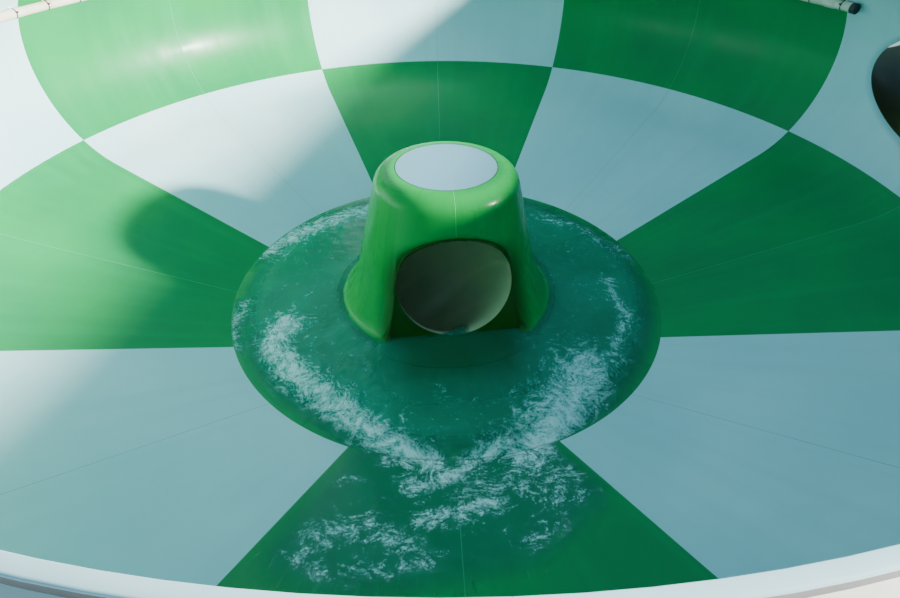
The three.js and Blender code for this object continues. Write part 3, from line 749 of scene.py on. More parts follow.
pocketFoot = skin + cone["clear"]
(turnSine, turnCosine), = ways(cone["turn"])
towerTurn = np.array([[turnCosine, turnSine, 0], [-turnSine, turnCosine, 0], [0, 0, 1]])


def towerPlaced(points):
    # from the tower's frame: turned about Z, then moved to the middle of the bowl floor
    return np.asarray(points, float) @ towerTurn + floorMiddle


def inTower(places):
    # from the world to the tower's own frame
    return (places - floorMiddle) @ towerTurn.T


def coneSection(inset):
    # the wall's line r = base - taper z, rounded into the top and flared at the foot by two falls
    # of exp(-z / fall), a soft one and a sharp one that makes up the rest of foot - base
    wallAt = lambda z: cone["baseRadius"] - cone["taper"] * z - inset / np.cos(lean)
    share = np.linspace(0, 1, 40)[:-1] ** 2
    z = cone["flareTop"] * share
    most, fall = cone["flareSoft"]
    rest = cone["footRadius"] - cone["baseRadius"] - most
    flare = (most * np.exp(-z / fall) + rest * np.exp(-z / cone["flareSharp"])) * (1 - share ** 2)
    foot = stacked(wallAt(z) + flare, z + (pocketFoot - inset) * (1 - share))
    centreZ, turnR = cone["height"] - cone["shoulder"], cone["shoulder"] - inset
    centreR = wallAt(centreZ) + (inset - cone["shoulder"]) / np.cos(lean)
    turn = np.linspace(lean, np.pi / 2, 14)
    arc = stacked(centreR + turnR * np.cos(turn), centreZ + turnR * np.sin(turn))
    z = np.linspace(cone["flareTop"], arc[0, 1], 50)[:-1]
    top = [[cone["capRadius"] + 0.0005, cone["height"] - inset]]
    return np.concatenate([foot, stacked(wallAt(z), z), arc, top])


def archLine(grow, foot):
    # a semicircle on legs that spread towards the foot, as [x, z]
    r, half = cone["archRadius"] + grow, cone["archFoot"] + grow
    angle = np.linspace(0, np.pi, 61)
    arc = stacked(r * np.cos(angle), cone["archHeight"] + r * np.sin(angle))
    t = np.linspace(0, 1, 20)[:-1, None]
    start, bend, end = np.array([half, foot]), np.array([(half + 2 * r) / 3, cone["archHeight"] / 2]), arc[0]
    leg = (1 - t) ** 2 * start + 2 * t * (1 - t) * (2 * bend - (start + end) / 2) + t ** 2 * end
    return np.concatenate([leg, arc, (leg * [-1, 1])[::-1]])


def archHalf(edge, z):
    # half the width inside an arch's outline at each height
    right = edge[edge[:, 0] >= 0]
    right = right[np.argsort(right[:, 1])]
    return np.interp(z, right[:, 1], right[:, 0], right=0.0)


def toLine(points, line):
    # the distance from each [x, z] point to a run of segments
    span = np.diff(line, axis=0)
    away = points[..., None, :] - line[:-1]
    share = np.clip((away * span).sum(-1) / (span ** 2).sum(-1), 0, 1)
    return np.linalg.norm(away - share[..., None] * span, axis=-1).min(-1)


def archRolled(points, gap):
    # the skin turns in towards the arch by depth * (1 - distance / reach)^2, but not behind the mouth plate
    x, y, z = np.moveaxis(points, -1, 0)
    edge = archLine(0, -0.3)
    distance = np.where(np.abs(x) < archHalf(edge, z), 0.0, toLine(points[..., [0, 2]], edge))
    dip = np.clip(1 - distance / cone["lipReach"], 0, 1) ** 2 * cone["lipDepth"]
    dip = np.minimum(dip, np.clip(mouthY(z) - y - gap, 0, None))
    return stacked(x, y + np.where(y < cone["frontFrom"], dip, 0), z)


def archShade(places):
    # painted shade round the arch: most at the arch's edge, falling off over a reach that is shorter above
    # the arch
    local = inTower(places)
    aside = np.clip(np.abs(local[:, 0]) / cone["archRadius"], 0, 1) ** 2
    reach = cone["shadeReach"] * (cone["shadeTop"] + (1 - cone["shadeTop"]) * aside)
    near = smooth(1 - toLine(local[:, [0, 2]], archLine(0, -0.3)) / reach)
    return np.where(local[:, 1] < cone["frontFrom"], near, 0) * cone["shadeMost"]


def shadeAheadOfArch(places):
    # painted shade, most on the floor before the arch, falling off both ahead and aside
    x, y, _ = inTower(places).T
    (ahead, easeAhead), (aside, easeAside) = cone["floorShadeAhead"], cone["floorShadeAside"]
    share = smooth((ahead + y) / easeAhead) * smooth((aside - np.abs(x)) / easeAside)
    return np.where(y < 0, share, 0) * cone["floorShadeMost"]


def leanFrame():
    # the mouth's centre, the way into it, and the upward direction of its plate
    up, inward = np.array([[0, np.sin(lean), np.cos(lean)], [0, np.cos(lean), -np.sin(lean)]])
    return (cone["tubeRadius"] + 2 * skin) * up - [0, cone["mouthSetback"], 0], inward, up


def insideCone(z):
    # the radius of the skin's inner face at each height, flare and all
    return np.interp(z, *coneSection(skin).T[::-1])


def mouthY(z):
    # the mouth plate leans with the cone: taper z - setback
    return z * cone["taper"] - cone["mouthSetback"]


def skinFront(x, r):
    # the front of a circle of radius r: y = -sqrt(r^2 - x^2)
    return -np.sqrt(np.clip(r ** 2 - x ** 2, 0, None))


def pocketLine(grow):
    # the pocket's outline, drawn in to the arch's edge where the mouth plate is not far behind the skin
    edge, wide = archLine(0.002, pocketFoot), archLine(cone["pocket"], pocketFoot)
    front = skinFront(edge[:, 0], insideCone(edge[:, 1]) + skin)
    opening = np.clip((mouthY(edge[:, 1]) - front - 0.02) / 0.10, 0, 1)[:, None]
    return edge + (wide - edge) * opening + archLine(grow, pocketFoot) - archLine(0, pocketFoot)


def mouthPlate():
    # from the bore out to the pocket's edge or the cone's skin, whichever is nearer along each ray
    centre, inward, up = leanFrame()
    theta = np.linspace(0, 2 * np.pi, 181)[:-1]
    reach = np.linspace(cone["tubeRadius"], 1.5, 700)
    ray = np.cos(theta)[:, None] * [1, 0, 0] + np.sin(theta)[:, None] * up
    x, y, z = np.moveaxis(centre + reach[:, None] * ray[:, None], -1, 0)
    edges = pocketLine(cone["lap"]), archLine(0.003, pocketFoot)
    inPocket, inArch = (np.abs(x) < archHalf(edge, z) for edge in edges)
    inCone = np.hypot(x, y) < insideCone(z) + cone["lap"]
    fits = inPocket & (z > pocketFoot + cone["clear"]) & (inArch | inCone)
    last = np.where(fits.all(1), len(reach) - 1, np.argmin(fits, 1) - 1).clip(1)
    rows = np.linspace(cone["tubeRadius"], reach[last], 6, axis=-1)
    front = centre + rows[..., None] * ray[:, None]
    return shell(towerPlaced(front), towerPlaced(front + cone["mouthPlate"] * inward), wrapRows=True)


def pocketWall(line):
    # from just inside the cone's skin back to the mouth plate
    x, z = line[:, :1], line[:, 1:]
    front, back = skinFront(x, insideCone(z) + cone["lap"]), mouthY(z)
    first, last = np.minimum(front, back), np.maximum(front + 0.02, back)
    return towerPlaced(stacked(x, first + (last - first) * np.linspace(0, 1, 5), z))


def pocketSill():
    # the pocket's floor, from the foot of the skin back to the mouth plate
    x = np.linspace(-1, 1, 33)[:, None] * (cone["archFoot"] + 0.03)
    front = skinFront(x, cone["footRadius"] - 0.012)
    grid = stacked(x, front + (mouthY(0.02) - front) * np.linspace(0, 1, 9), 0.0)
    return shell(*(towerPlaced(grid + [0, 0, lift]) for lift in (skin, cone["clear"])))


def buildTower():
    # a cone section turned through each half, with the arch's prism cut out, and the pocket behind it
    sections, prism = (coneSection(skin), coneSection(0)), archLine(0, -0.2)
    cutter = makeCutter("archCutter", [towerPlaced(np.insert(prism, 1, y, 1)) for y in cone["cut"]])
    for name, node, first in (("towerRight", "tower_right", 0), ("towerLeft", "tower_left", 180)):
        angles = halfTurn(first, 144)
        faces = [towerPlaced(archRolled(aroundZ(line, angles), gap))
                 for line, gap in zip(sections, cone["skinGaps"])]
        skinPatch = shell(*faces, surfaceUv(sections[1], angles, 1.1))
        piece = makePiece(name, [skinPatch], [towerGreen, towerGreen], [node])
        cutBy(piece, cutter)
        # painted shade: the skin round the arch is marked to turn a darker olive
        markPoints(piece, "archShade", archShade)
    bpy.data.objects.remove(cutter)
    patches = [shell(*(pocketWall(pocketLine(grow)) for grow in (0, skin))), mouthPlate(), pocketSill()]
    # the pocket walls, mouth plate and sill all take the dark olive of painted shade
    makePiece("towerPocket", patches, [pocketShade, pocketShade])
    # painted shade: the floor before the arch is marked to turn a darker olive
    for name in ("floorBack", "floorFront"):
        markPoints(bpy.data.objects[name], "archShade", shadeAheadOfArch)
    buildCap()


capRing = {"gap": 0.0035, "crown": 0.006, "sealWidth": 0.007}


def buildCap():
    # a disc with a slight crown, height = crown (1 - (r / radius)^2), in a dark sealed joint
    radius, height = cone["capRadius"] - capRing["gap"], cone["height"]
    r = np.append(np.linspace(0, radius - 0.003, 14), [radius - 0.001, radius])
    lift = capRing["crown"] * (1 - (r / radius) ** 2) + np.where(r > radius - 0.002, -0.0015, 0)
    angles = np.linspace(0, 360, 145)[:-1]
    top, under = (stacked(r, z) for z in (height + lift, height - cone["capThickness"]))
    faces = [towerPlaced(aroundZ(line, angles)) for line in (top, under)]
    disc = shell(*faces, surfaceUv(top, angles, 0.6), wrapRows=True)
    # the cap's dark blue-white is painted shade
    makePiece("towerCap", [disc], [capShadedWhite, capShadedWhite], ["tower_cap"])
    a, b = cone["capRadius"] - capRing["sealWidth"] * 0.7, cone["capRadius"] + capRing["sealWidth"] * 0.4
    seal = np.array([[a, -0.004], [a, 0.0005], [(a + b) / 2, 0.002], [b, 0.0005], [b, -0.004]]) + [0, height]
    makePiece("capSeal", [loft(towerPlaced(aroundZ(seal, angles)), True)], [blackRubber])


# Exit tube: a bend down through the floor and two straight tubes

exitTube = {"turn": (-1.9, 0.45, -1.35), "slope": 0.13, "length": 2.5, "pull": (1.0, 1.15), "sides": 72}
exitAway = unit([-1, 0, -exitTube["slope"]])
exitTurn = floorMiddle + exitTube["turn"]


def exitLine():
    # a cubic curve from behind the mouth plate to the start of the straight run, by arc length
    centre, inward, _ = leanFrame()
    start = towerPlaced(centre + (cone["mouthPlate"] + cone["clear"]) * inward)
    pull = exitTube["pull"]
    points = start, start + pull[0] * inward @ towerTurn, exitTurn - pull[1] * exitAway, exitTurn
    t = np.linspace(0, 1, 2001)[:, None]
    weights = (1 - t) ** 3, 3 * t * (1 - t) ** 2, 3 * t ** 2 * (1 - t), t ** 3
    fine = sum(weight * point for weight, point in zip(weights, points))
    length = lengthsAlong(fine)
    return lambda places: stacked(*(np.interp(places, length, line) for line in fine.T)), length[-1]


exitAt, exitLength = exitLine()


def tubeFrames(path):
    # directions square to a path, turned as little as possible from each point to the next
    ahead = unit(np.gradient(path, axis=0, edge_order=2))
    sides = [np.cross(ahead[0], [0, 0, 1.0])]
    for way in ahead:
        sides.append(unit(sides[-1] - (sides[-1] @ way) * way))
    return np.array(sides[1:]), np.cross(ahead, sides[1:])


def exitPiece(name, node, path, ends, bolts):
    # two surfaces a skin apart, with a flange at the chosen ends
    radius, sides = cone["tubeRadius"], exitTube["sides"]
    side, up = tubeFrames(path)
    faces = [carried(circle(sides, r)[:, None], path, side, up) for r in (radius, radius + skin)]
    uv = stacked(fullTurn(sides)[:, None] * radius, lengthsAlong(path))
    patches = [shell(*faces, uv, wrapRows=True)]
    for end in ends:
        way = np.cross(side[end], up[end]) * tubeFlange["thickness"] * (1 if end == 0 else -1)
        ring = lambda r, place: carried(circle(sides, r), place, side[end], up[end])
        patches.append(flange(ring, radius, (path[end], path[end] + way)))
    # the inside takes a warm tint that is painted light
    makePiece(name, patches + bolts, [tubeGreyPaintedLight, tubeBack, boltSteel], [node])


def buildExit():
    # the exit's line in four parts: its bend in two halves, then two straight lengths
    half, gap, length = exitLength / 2, tubeFlange["gap"], exitTube["length"]
    paths = [exitAt(np.linspace(0, half - gap, 26)), exitAt(np.linspace(half + gap, exitLength - gap, 26))]
    for start in (0, length):
        paths.append(exitTurn + np.linspace(start + 0.0003, start + length, 12)[:, None] * exitAway)
    joints = [(exitAt(half), exitAt(half + 0.01) - exitAt(half - 0.01))]
    joints += [(exitTurn + i * length * exitAway, exitAway) for i in (0, 1)]
    bolts = [[flangeBolts(*joint, cone["tubeRadius"])] for joint in joints] + [[]]
    for i, path in enumerate(paths):
        exitPiece(f"exitTube{i + 1}", f"exit_tube_{i + 1}", path, (0, -1) if i else (-1,), bolts[i])


# Spray pipe round the wall, held by a strap and a bracket every few degrees

spray = {"radius": 0.057, "standoff": 0.075, "wallAngle": 32, "start": 69.5, "end": -245.5, "sides": 24,
         "strapEvery": 4.7, "strapFrom": -68.8, "couplingFrom": 30, "couplingEvery": 56.25, "ease": 0.004,
         "bracketWidth": 0.030, "bracketFoot": 0.045, "bracketHead": 0.028, "bracketLap": 0.6,
         "knob": [(-0.01, 0.011), (0.030, 0.011)], "knobAt": (0.8, -0.7), "knobWay": (0.8, -0.6)}
# Length, how proud it stands and how far its ends are turned down
couplingShape, capShape, strapShape = (0.16, 0.006, 0.3), (0.075, 0.008, 0.6), (0.016, 0.003, 0.9)
pipeAt, = bendLine(-spray["standoff"], spray["wallAngle"])


def pipeRings(angles, radii):
    # circles square to the pipe's path, which runs round the bowl at one height
    flat = pipeAt + circle(spray["sides"]) * np.broadcast_to(radii, len(angles))[:, None, None]
    way = ways(angles)[:, None]
    return stacked(flat[..., 0] * way[..., 0], flat[..., 0] * way[..., 1], flat[..., 1]) + floorMiddle


def collar(middle, shape, mat):
    # a short sleeve on the pipe with turned-down ends
    length, proud, taper = shape
    half, ease = np.degrees(length / 2 / pipeAt[0]), np.degrees(spray["ease"] / pipeAt[0])
    low, high = spray["radius"] + proud * taper, spray["radius"] + proud
    angles = middle + np.array([-half, ease - half, half - ease, half])
    return loft(pipeRings(angles, [low, high, high, low]), mat=mat)


def buildSprayPipe():
    # rings along the pipe's circle, with couplings, end caps, straps, brackets and knobs at even angles
    start, end, every, radius = (spray[key] for key in ("start", "end", "strapEvery", "radius"))
    patches = [loft(pipeRings(np.linspace(end, start, 253), radius))]
    for place in np.arange(end + spray["couplingFrom"], start, spray["couplingEvery"]):
        patches.append(collar(place, couplingShape, 0))
    capPlace = np.degrees(capShape[0] / 2 / pipeAt[0]) * 0.8
    patches += [collar(a, capShape, 1) for a in (start - capPlace, end + capPlace)]
    first = spray["strapFrom"] - np.floor((spray["strapFrom"] - end) / every) * every
    places = np.arange(first, start, every)
    patches += [collar(a, strapShape, 1) for a in places]
    along, normal = ways(-spray["wallAngle"])[0], ways(90 - spray["wallAngle"])[0]
    foot, head = bendLine(0.002, spray["wallAngle"])[0], pipeAt + normal * radius * spray["bracketLap"]
    wide, narrow = along * spray["bracketFoot"], along * spray["bracketHead"]
    bracket = np.array([foot + wide, head + narrow, head - narrow, foot - wide])
    half = np.degrees(spray["bracketWidth"] / 2 / pipeAt[0])
    knobFoot, knobWay = (spray[key] @ np.array([along, normal]) for key in ("knobAt", "knobWay"))
    knobFoot = pipeAt + knobFoot * radius
    knobs = aroundAxis(np.array([knobFoot, knobFoot + knobWay]), places)
    for a, (base, tip) in zip(places, knobs):
        patches.append(loft(aroundAxis(bracket, [a - half, a + half])))
        patches.append(repeatPatch(turned(10, spray["knob"], 1), standing(base, tip - base)))
    makePiece("sprayPipe", patches, [creamPipe, blackRubber], ["spray_pipe"])


# Steel: eight frames, the ring under the floor, and the posts under the tubes

steelwork = {"first": 22.5, "count": 8, "width": 0.100, "rakerDepth": 0.180, "armDepth": 0.120, "armTop": 8,
             "armInset": 0.004, "rolled": 0.008, "web": 0.006, "inner": 1.6203, "column": 0.110,
             "place": 4.35, "basePlate": 0.480, "baseThickness": 0.025, "tieWidth": 0.120, "tieDepth": 0.150,
             "wall": 0.012, "tieJoint": 0.175, "corner": 0.014, "ringRadius": 1.50, "ringWidth": 0.120,
             "ringDepth": 0.110, "edge": 0.0015, "stiffeners": (-0.075, 0.075, -2.45, -1.63),
             "stiffenerReach": 0.042, "capHalf": 0.16, "capAside": 0.085, "capBolts": 0.125,
             "boltAside": 0.062, "boltSize": 0.95, "cleats": (-58, -40.5, -22.5, -4.5),
             "cleatPlate": (0.10, 0.082, 0.006), "cleatFoot": (0.10, 0.040, 0.006)}
underside = ribDeep + 0.0003
xWay, yWay, zWay = np.eye(3)


def platePatch(middle, normal, side, width, height, thickness, corner=0.006):
    # a flat plate centred on a point, with rounded corners and slightly turned-down edges
    normal, side, edge = unit(normal), unit(side), steelwork["edge"]
    steps = (-0.5, edge), (-0.5 + edge / thickness, 0), (0.5 - edge / thickness, 0), (0.5, edge)
    return loft([carried(roundedBox(width - 2 * cut, height - 2 * cut, corner),
                         middle + place * thickness * normal, side, np.cross(normal, side))
                 for place, cut in steps])


def cutPlate(outline, origin, side, thickness):
    # an upright plate cut to an outline of [side, z] points, centred on its own middle plane
    normal = np.cross(side, zWay)
    return loft([carried(outline, origin + s * normal * thickness / 2, side, zWay) for s in (-1, 1)])


def bar(front, back, half):
    # a flat bar between two [r, z] lines of a local frame, as wide as twice the half
    corners = (front, 1), (front, -1), (back, -1), (back, 1)
    return loft(np.stack([np.insert(line, 1, s * half, 1) for line, s in corners], 1))


def boltsAt(spots, facing, size, patch=boltPatch):
    # one bolt at every spot, its own Z turned to the spot's facing
    return repeatPatch(patch(1, size), standing(spots, facing))


def localFrame(angle):
    # local X outwards, Y sideways and Z up, from the middle of the bowl floor
    (x, y), = ways(angle)
    made = np.eye(4)
    made[:3] = stacked([x, y, 0], [-y, x, 0], zWay, floorMiddle)
    return made


def rakerLines():
    # matching [r, z] rows of the upper and lower edges: level, up the dish, then round the wall
    arc, face = np.linspace(bendStart, steelwork["armTop"], 27), underside + steelwork["armInset"]
    depths = (underside, face), (underside + steelwork["rakerDepth"], face + steelwork["armDepth"])
    return [np.concatenate([[[steelwork["inner"], -low], [floorR + low * np.tan(slope / 2), -low]],
                            bendLine(arm, arc)]) for low, arm in depths]


def anchorPatch(mat, size):
    # a nut and washer on a stud that stands out of it
    return join([boltPatch(mat, size), turned(8, [(0, 0.009), (0.040, 0.009), (0.043, 0.0063)], mat)])


def footPatches(middle, ground, width, radius):
    # a base plate with four gussets, four anchors and the weld round the foot
    plate, flat = steelwork["baseThickness"], np.append(middle, 0)
    top = ground + plate
    patches = [platePatch(flat + zWay * (ground + plate / 2), zWay, xWay, width, width, plate, 0.012)]
    weld = (0.010, 0), (0.006, 0.006), (0, 0.010), (0, 0)
    patches.append(loft([np.insert(circle(28, radius + r) + middle, 2, top + z, 1) for r, z in weld], True))
    reach = width / 2 - 0.02 - radius
    gusset = [(0, 0), (reach, 0), (reach, 0.018), (0.020, 0.17), (0, 0.17)]
    for way in circle(4):
        out = np.append(way, 0)
        patches.append(cutPlate(gusset, flat + zWay * top + out * (radius - 0.004), out, 0.010))
    spots = np.insert(circle(4, (width / 2 - 0.06) * np.sqrt(2), 45) + middle, 2, top, 1)
    return patches + [boltsAt(spots, zWay, 2.1, anchorPatch)]


def tiePatches():
    # a rolled hollow beam to the next column, on bolted end plates
    place, turn = steelwork["place"], 2 * np.pi / steelwork["count"]
    wide, deep, wall, joint = (steelwork[key] for key in ("tieWidth", "tieDepth", "wall", "tieJoint"))
    height = dishLine(underside, place * np.cos(turn / 2) - wide / 2)[0, 1] - deep / 2
    start, run = np.array([place, 0, height]), place * np.array([np.cos(turn) - 1, -np.sin(turn), 0])
    way, length = unit(run), np.linalg.norm(run)
    side, inside = np.cross(way, zWay), steelwork["column"] * 0.8
    section = roundedBox(wide, deep, steelwork["corner"])
    runs = [(inside, joint - wall), (joint + wall, length - joint - wall),
            (length - joint + wall, length - inside)]
    patches = [loft([carried(section, start + s * way, side, zWay) for s in ends]) for ends in runs]
    corners = circle(4, np.sqrt(2), 45) * [wide / 2 + 0.008, deep / 2 + 0.008]
    for spot in (joint, length - joint):
        for s in (-0.5, 0.5):
            middle, face = (start + (spot + s * wall * k) * way for k in (1.02, 2.02))
            patches.append(platePatch(middle, way, side, wide + 0.044, deep + 0.044, wall))
            patches.append(boltsAt(carried(corners, face, side, zWay), s * way, 0.9))
    return patches


def framePatches():
    # one frame in its local frame: a rolled raker and arm, its column and the tie to the next column
    upper, lower = rakerLines()
    across = unit(lower - upper) * steelwork["rolled"]
    half, place, wall, ground = steelwork["width"] / 2, steelwork["place"], steelwork["wall"], -floorMiddle[2]
    lowAt = lambda r: np.interp(r, *lower.T)
    cap = np.array([[r, lowAt(r)] for r in (place - steelwork["capHalf"], place + steelwork["capHalf"])])
    patches = [bar(upper, upper + across, half), bar(lower - across, lower, half),
               bar(upper + across * 0.7, lower - across * 0.7, steelwork["web"] / 2),
               bar(cap - [0, 0.0002], cap - [0, wall], steelwork["capAside"])]
    ring = circle(28, steelwork["column"]) + [place, 0]
    top = lowAt(ring[:, 0]) - wall + 0.001
    patches.append(upright(ring, ground + steelwork["baseThickness"], top))
    patches += footPatches((place, 0), ground, steelwork["basePlate"], steelwork["column"])
    for r in place + np.array(steelwork["stiffeners"]):
        high, low = (np.interp(r, *line.T) for line in (upper, lower))
        out = steelwork["stiffenerReach"]
        outline = [(0, high - 0.0075), (out, high - 0.0085), (out, low + 0.0095), (0, low + 0.0085)]
        patches += [cutPlate(outline, np.array([r, s * 0.002, 0]), s * yWay, 0.008) for s in (1, -1)]
    first, last = (np.insert((upper[k] + lower[k]) / 2, 1, 0) for k in (0, -1))
    along = np.insert(ways(-steelwork["armTop"])[0], 1, 0)
    patches.append(platePatch(first + 0.006 * xWay, xWay, yWay, 0.15, 0.176, 0.012))
    patches.append(platePatch(last + along * 0.004, along, yWay, 0.108, steelwork["armDepth"] + 0.004, 0.008))
    aside, ahead, size = (steelwork[key] for key in ("boltAside", "capBolts", "boltSize"))
    spots = [first + [0.012, s * aside, t * aside] for s in (1, -1) for t in (1, 0, -1)]
    capSpots = [[place + a, s * aside, lowAt(place + a) - wall] for a in (-ahead, ahead) for s in (1, -1)]
    patches += [boltsAt(spots, xWay, size), boltsAt(capSpots, [np.sin(slope), 0, -np.cos(slope)], size)]
    for angle in steelwork["cleats"]:
        patches += cleatPatches(angle)
    return patches + tiePatches()


def cleatPatches(angle):
    # on both sides of the panels' seam, an angle piece from the arm's flange to the seam's ribs
    normal, along = (np.insert(ways(turn)[0], 1, 0) for turn in (90 - angle, -angle))
    at = lambda out, side: np.array([bendR, side, bendZ]) + normal * (bendRadius + out)
    patches, size = [], steelwork["boltSize"]
    for s in (1, -1):
        patches.append(platePatch(at(0.062, s * 0.0155), s * yWay, along, *steelwork["cleatPlate"]))
        patches.append(platePatch(at(0.1012, s * 0.033), normal, along, *steelwork["cleatFoot"]))
        patches.append(boltsAt([at(0.062, s * 0.0186), at(0.0981, s * 0.037)], [s * yWay, -normal], size))
    return patches


def makeSteel(name, node, patches):
    # a steel piece with bright bolts
    makePiece(name, patches, [steel, boltSteel], [node])


def buildFrames():
    # one frame repeated at even angles, and a box section turned into the ring under the floor
    whole = join(framePatches())
    for i in range(steelwork["count"]):
        matrix = localFrame(steelwork["first"] + 360 / steelwork["count"] * i)
        makeSteel(f"frame{i + 1}", f"frame_{i + 1}", [repeatPatch(whole, [matrix])])
    wide, high = steelwork["ringWidth"], steelwork["ringDepth"]
    section = roundedBox(wide, high, steelwork["corner"])
    section += [steelwork["ringRadius"] + wide / 2, -underside - high / 2]
    ring = loft(aroundAxis(section, np.linspace(0, 360, 129)[:-1]), True)
    makeSteel("floorRing", "floor_ring", [ring])


post = {"radius": 0.084, "plate": 0.400, "saddleWidth": 0.150, "saddleThickness": 0.012, "saddleTurn": 36.8,
        "cradleDrop": 0.24, "cradleHalf": 0.12, "cradleShare": 0.92, "cradleLeg": 0.03, "cradleAt": 0.045,
        "cradleThick": 0.010, "tube": 0.6803, "onExit": (1.375, 4.5), "onEntry": (3.95, 6.22)}


def buildPost(name, node, point, direction):
    # a saddle on two cut plates, square to the tube, on a round post
    direction = unit(direction)
    across = unit(np.cross(direction, zWay))
    up = np.cross(across, direction)
    radius, wall, half = post["tube"], post["saddleThickness"], post["saddleWidth"] / 2
    turns = np.linspace(-post["saddleTurn"], post["saddleTurn"], 33)
    rings = [carried(-ways(turns + 180) * (radius + t) * [1, -1], point + direction * s * half, across, up)
             for t, s in ((0, -1), (0, 1), (wall, 1), (wall, -1))]
    edge = radius + wall * 0.9
    upper = ways(np.linspace(-1, 1, 25) * post["saddleTurn"] * post["cradleShare"]) * [edge, -edge]
    low, foot, leg = -radius - post["cradleDrop"], post["cradleHalf"], [0, post["cradleLeg"]]
    outline = np.array([upper[0] - leg, [-foot, low], [foot, low], upper[-1] - leg])
    lower = stacked(upper[:, 0], np.interp(upper[:, 0], *outline.T))
    patches = [loft(np.stack(rings, 1))]
    for s in (-1, 1):
        middle, thick = point + direction * s * post["cradleAt"], direction * post["cradleThick"]
        sides = [carried(line, middle + t * thick, across, up)
                 for line, t in ((upper, 0.5), (upper, -0.5), (lower, -0.5), (lower, 0.5))]
        patches.append(loft(np.stack(sides, 1)))
    # The post's top is where each upright line of it meets the saddle's under face
    ring = circle(28, post["radius"])
    away = np.insert(ring, 2, 0, 1)
    flat, rise = away - (away @ direction)[:, None] * direction, zWay - direction[2] * direction
    b, c = flat @ rise, (flat ** 2).sum(1) - edge ** 2
    top = point[2] + (-b - np.sqrt(b ** 2 - (rise @ rise) * c)) / (rise @ rise)
    patches.append(upright(ring + point[:2], steelwork["baseThickness"], top))
    patches += footPatches(point[:2], 0.0, post["plate"], post["radius"])
    makeSteel(name, node, patches)


def buildSteel():
    # the frames, and a post under each of four places, given as lengths along the tubes' straight lines
    buildFrames()
    for name, start, way, places in (("exit", exitTurn, exitAway, post["onExit"]),
                                     ("entry", entryFoot, entryWay, post["onEntry"])):
        for i, place in enumerate(places):
            buildPost(f"{name}Post{i + 1}", f"{name}_post_{i + 1}", start + place * way, way)


# Seams and the bolts through the panels' flanges

seam = {"width": 0.0050, "proud": 0.0006, "depth": 0.0010, "boltSpacing": 0.22, "boltDepth": 0.062,
        "ringSpacing": 0.25, "ribTop": 42, "towerWidth": 0.0045, "towerLifts": (0.0008, -0.001),
        "ringLifts": (0.0004, -0.0004), "jointHalf": 0.055, "kneeWidth": 0.0032, "holeClear": 0.012,
        "boltClear": 0.05, "boltHalf": ribThick + 0.0004, "dishBolts": 0.14, "bendBolts": (-66, -4, 8.0),
        "wallBolts": (6, 9.0)}


def seamHole(angle):
    # whether a seam runs through the entry hole
    return abs(angle - 90) < 1


def seamStrip(line, angle, width, mat):
    # a flat bead down a seam, between two close plan angles, that stands a hair proud of the panels
    spans = np.degrees(width / 2 / line[:, 0])
    normal = unit(np.gradient(line, axis=0))[:, ::-1] * [-1, 1]
    faces = []
    for lift in (seam["proud"], -seam["depth"]):
        r, z = (line + normal * lift).T
        sides = [np.insert(ways(angle + s * spans) * r[:, None], 2, z, 1) for s in (-1, 1)]
        face = np.stack(sides) + floorMiddle
        faces.append(rolled(face) if seamHole(angle) else face)
    return shell(*faces, innerMat=mat, outerMat=mat)


def clearRuns(rows, angle):
    # the parts of a section line that keep clear of the entry hole
    distance = entryPlace(rolled(aroundAxis(rows, [angle]))[0])[1]
    clear = distance > entry["radius"] + seam["holeClear"]
    parts = np.split(np.arange(len(rows)), np.flatnonzero(np.diff(clear.astype(int))) + 1)
    return [rows[part] for part in parts if clear[part[0]] and len(part) > 2]


def buildSeams():
    # beads down every seam, wider and paler in the middle of a colour; round the floor and the joint
    knee = floorR + 0.001
    dishRows = np.concatenate([dishLine(0, np.linspace(knee, bendLine(0, bendStart)[0, 0], 10)),
                               bendLine(0, np.linspace(bendStart, jointAngle, 9)[1:])])
    wallRows = bendLine(0, np.linspace(jointAngle, bowl["rimAngle"] - 0.1, 40))
    patches = []
    for i in range(bowl["panels"]):
        angle = i * bowl["panelAngle"]
        same = sectorOdd(i) == sectorOdd(i - 1)
        width = seam["width"] * (1 if same else 0.4)
        wallRuns = clearRuns(wallRows, angle) if seamHole(angle) else [wallRows]
        for runs, odd in (([dishRows], sectorOdd(i)), (wallRuns, not sectorOdd(i))):
            patches += [seamStrip(rows, angle, width, int(odd) if same else 2) for rows in runs]
    around = np.linspace(0, 360, 361)[:-1]
    joint = jointAngle + np.array([-1, 1]) * seam["jointHalf"]
    rings = [(bendLine(0, joint), -ways(90 - jointAngle)[0]),
             (np.array([[knee - seam["kneeWidth"], 0], [knee, 0]]), np.array([0, 1]))]
    for line, normal in rings:
        faces = [aroundAxis(line + normal * lift, around) for lift in seam["ringLifts"]]
        patches.append(shell(*faces, innerMat=2, outerMat=2, wrapRows=True))
    sides = np.array([-0.5, 0.5])[:, None] * seam["towerWidth"]
    faces = [towerPlaced(stacked(sides, *rows.T)) for rows in towerSeam()]
    patches.append(shell(*faces, innerMat=3, outerMat=3))
    makePiece("panelSeams", patches, [seamOnGreen, seamOnWhite, seamDark, towerSeamLine])


def towerSeam():
    # the front joint of the tower's halves, from the cap down to the arch, as [y, z] rows
    line = coneSection(0)
    line = line[line[:, 1] > cone["archHeight"] + cone["archRadius"] + cone["lipReach"] * 0.6]
    normal = unit(np.gradient(line, axis=0))[:, ::-1] * [1, -1]
    return [(line + normal * lift) * [-1, 1] for lift in seam["towerLifts"]]


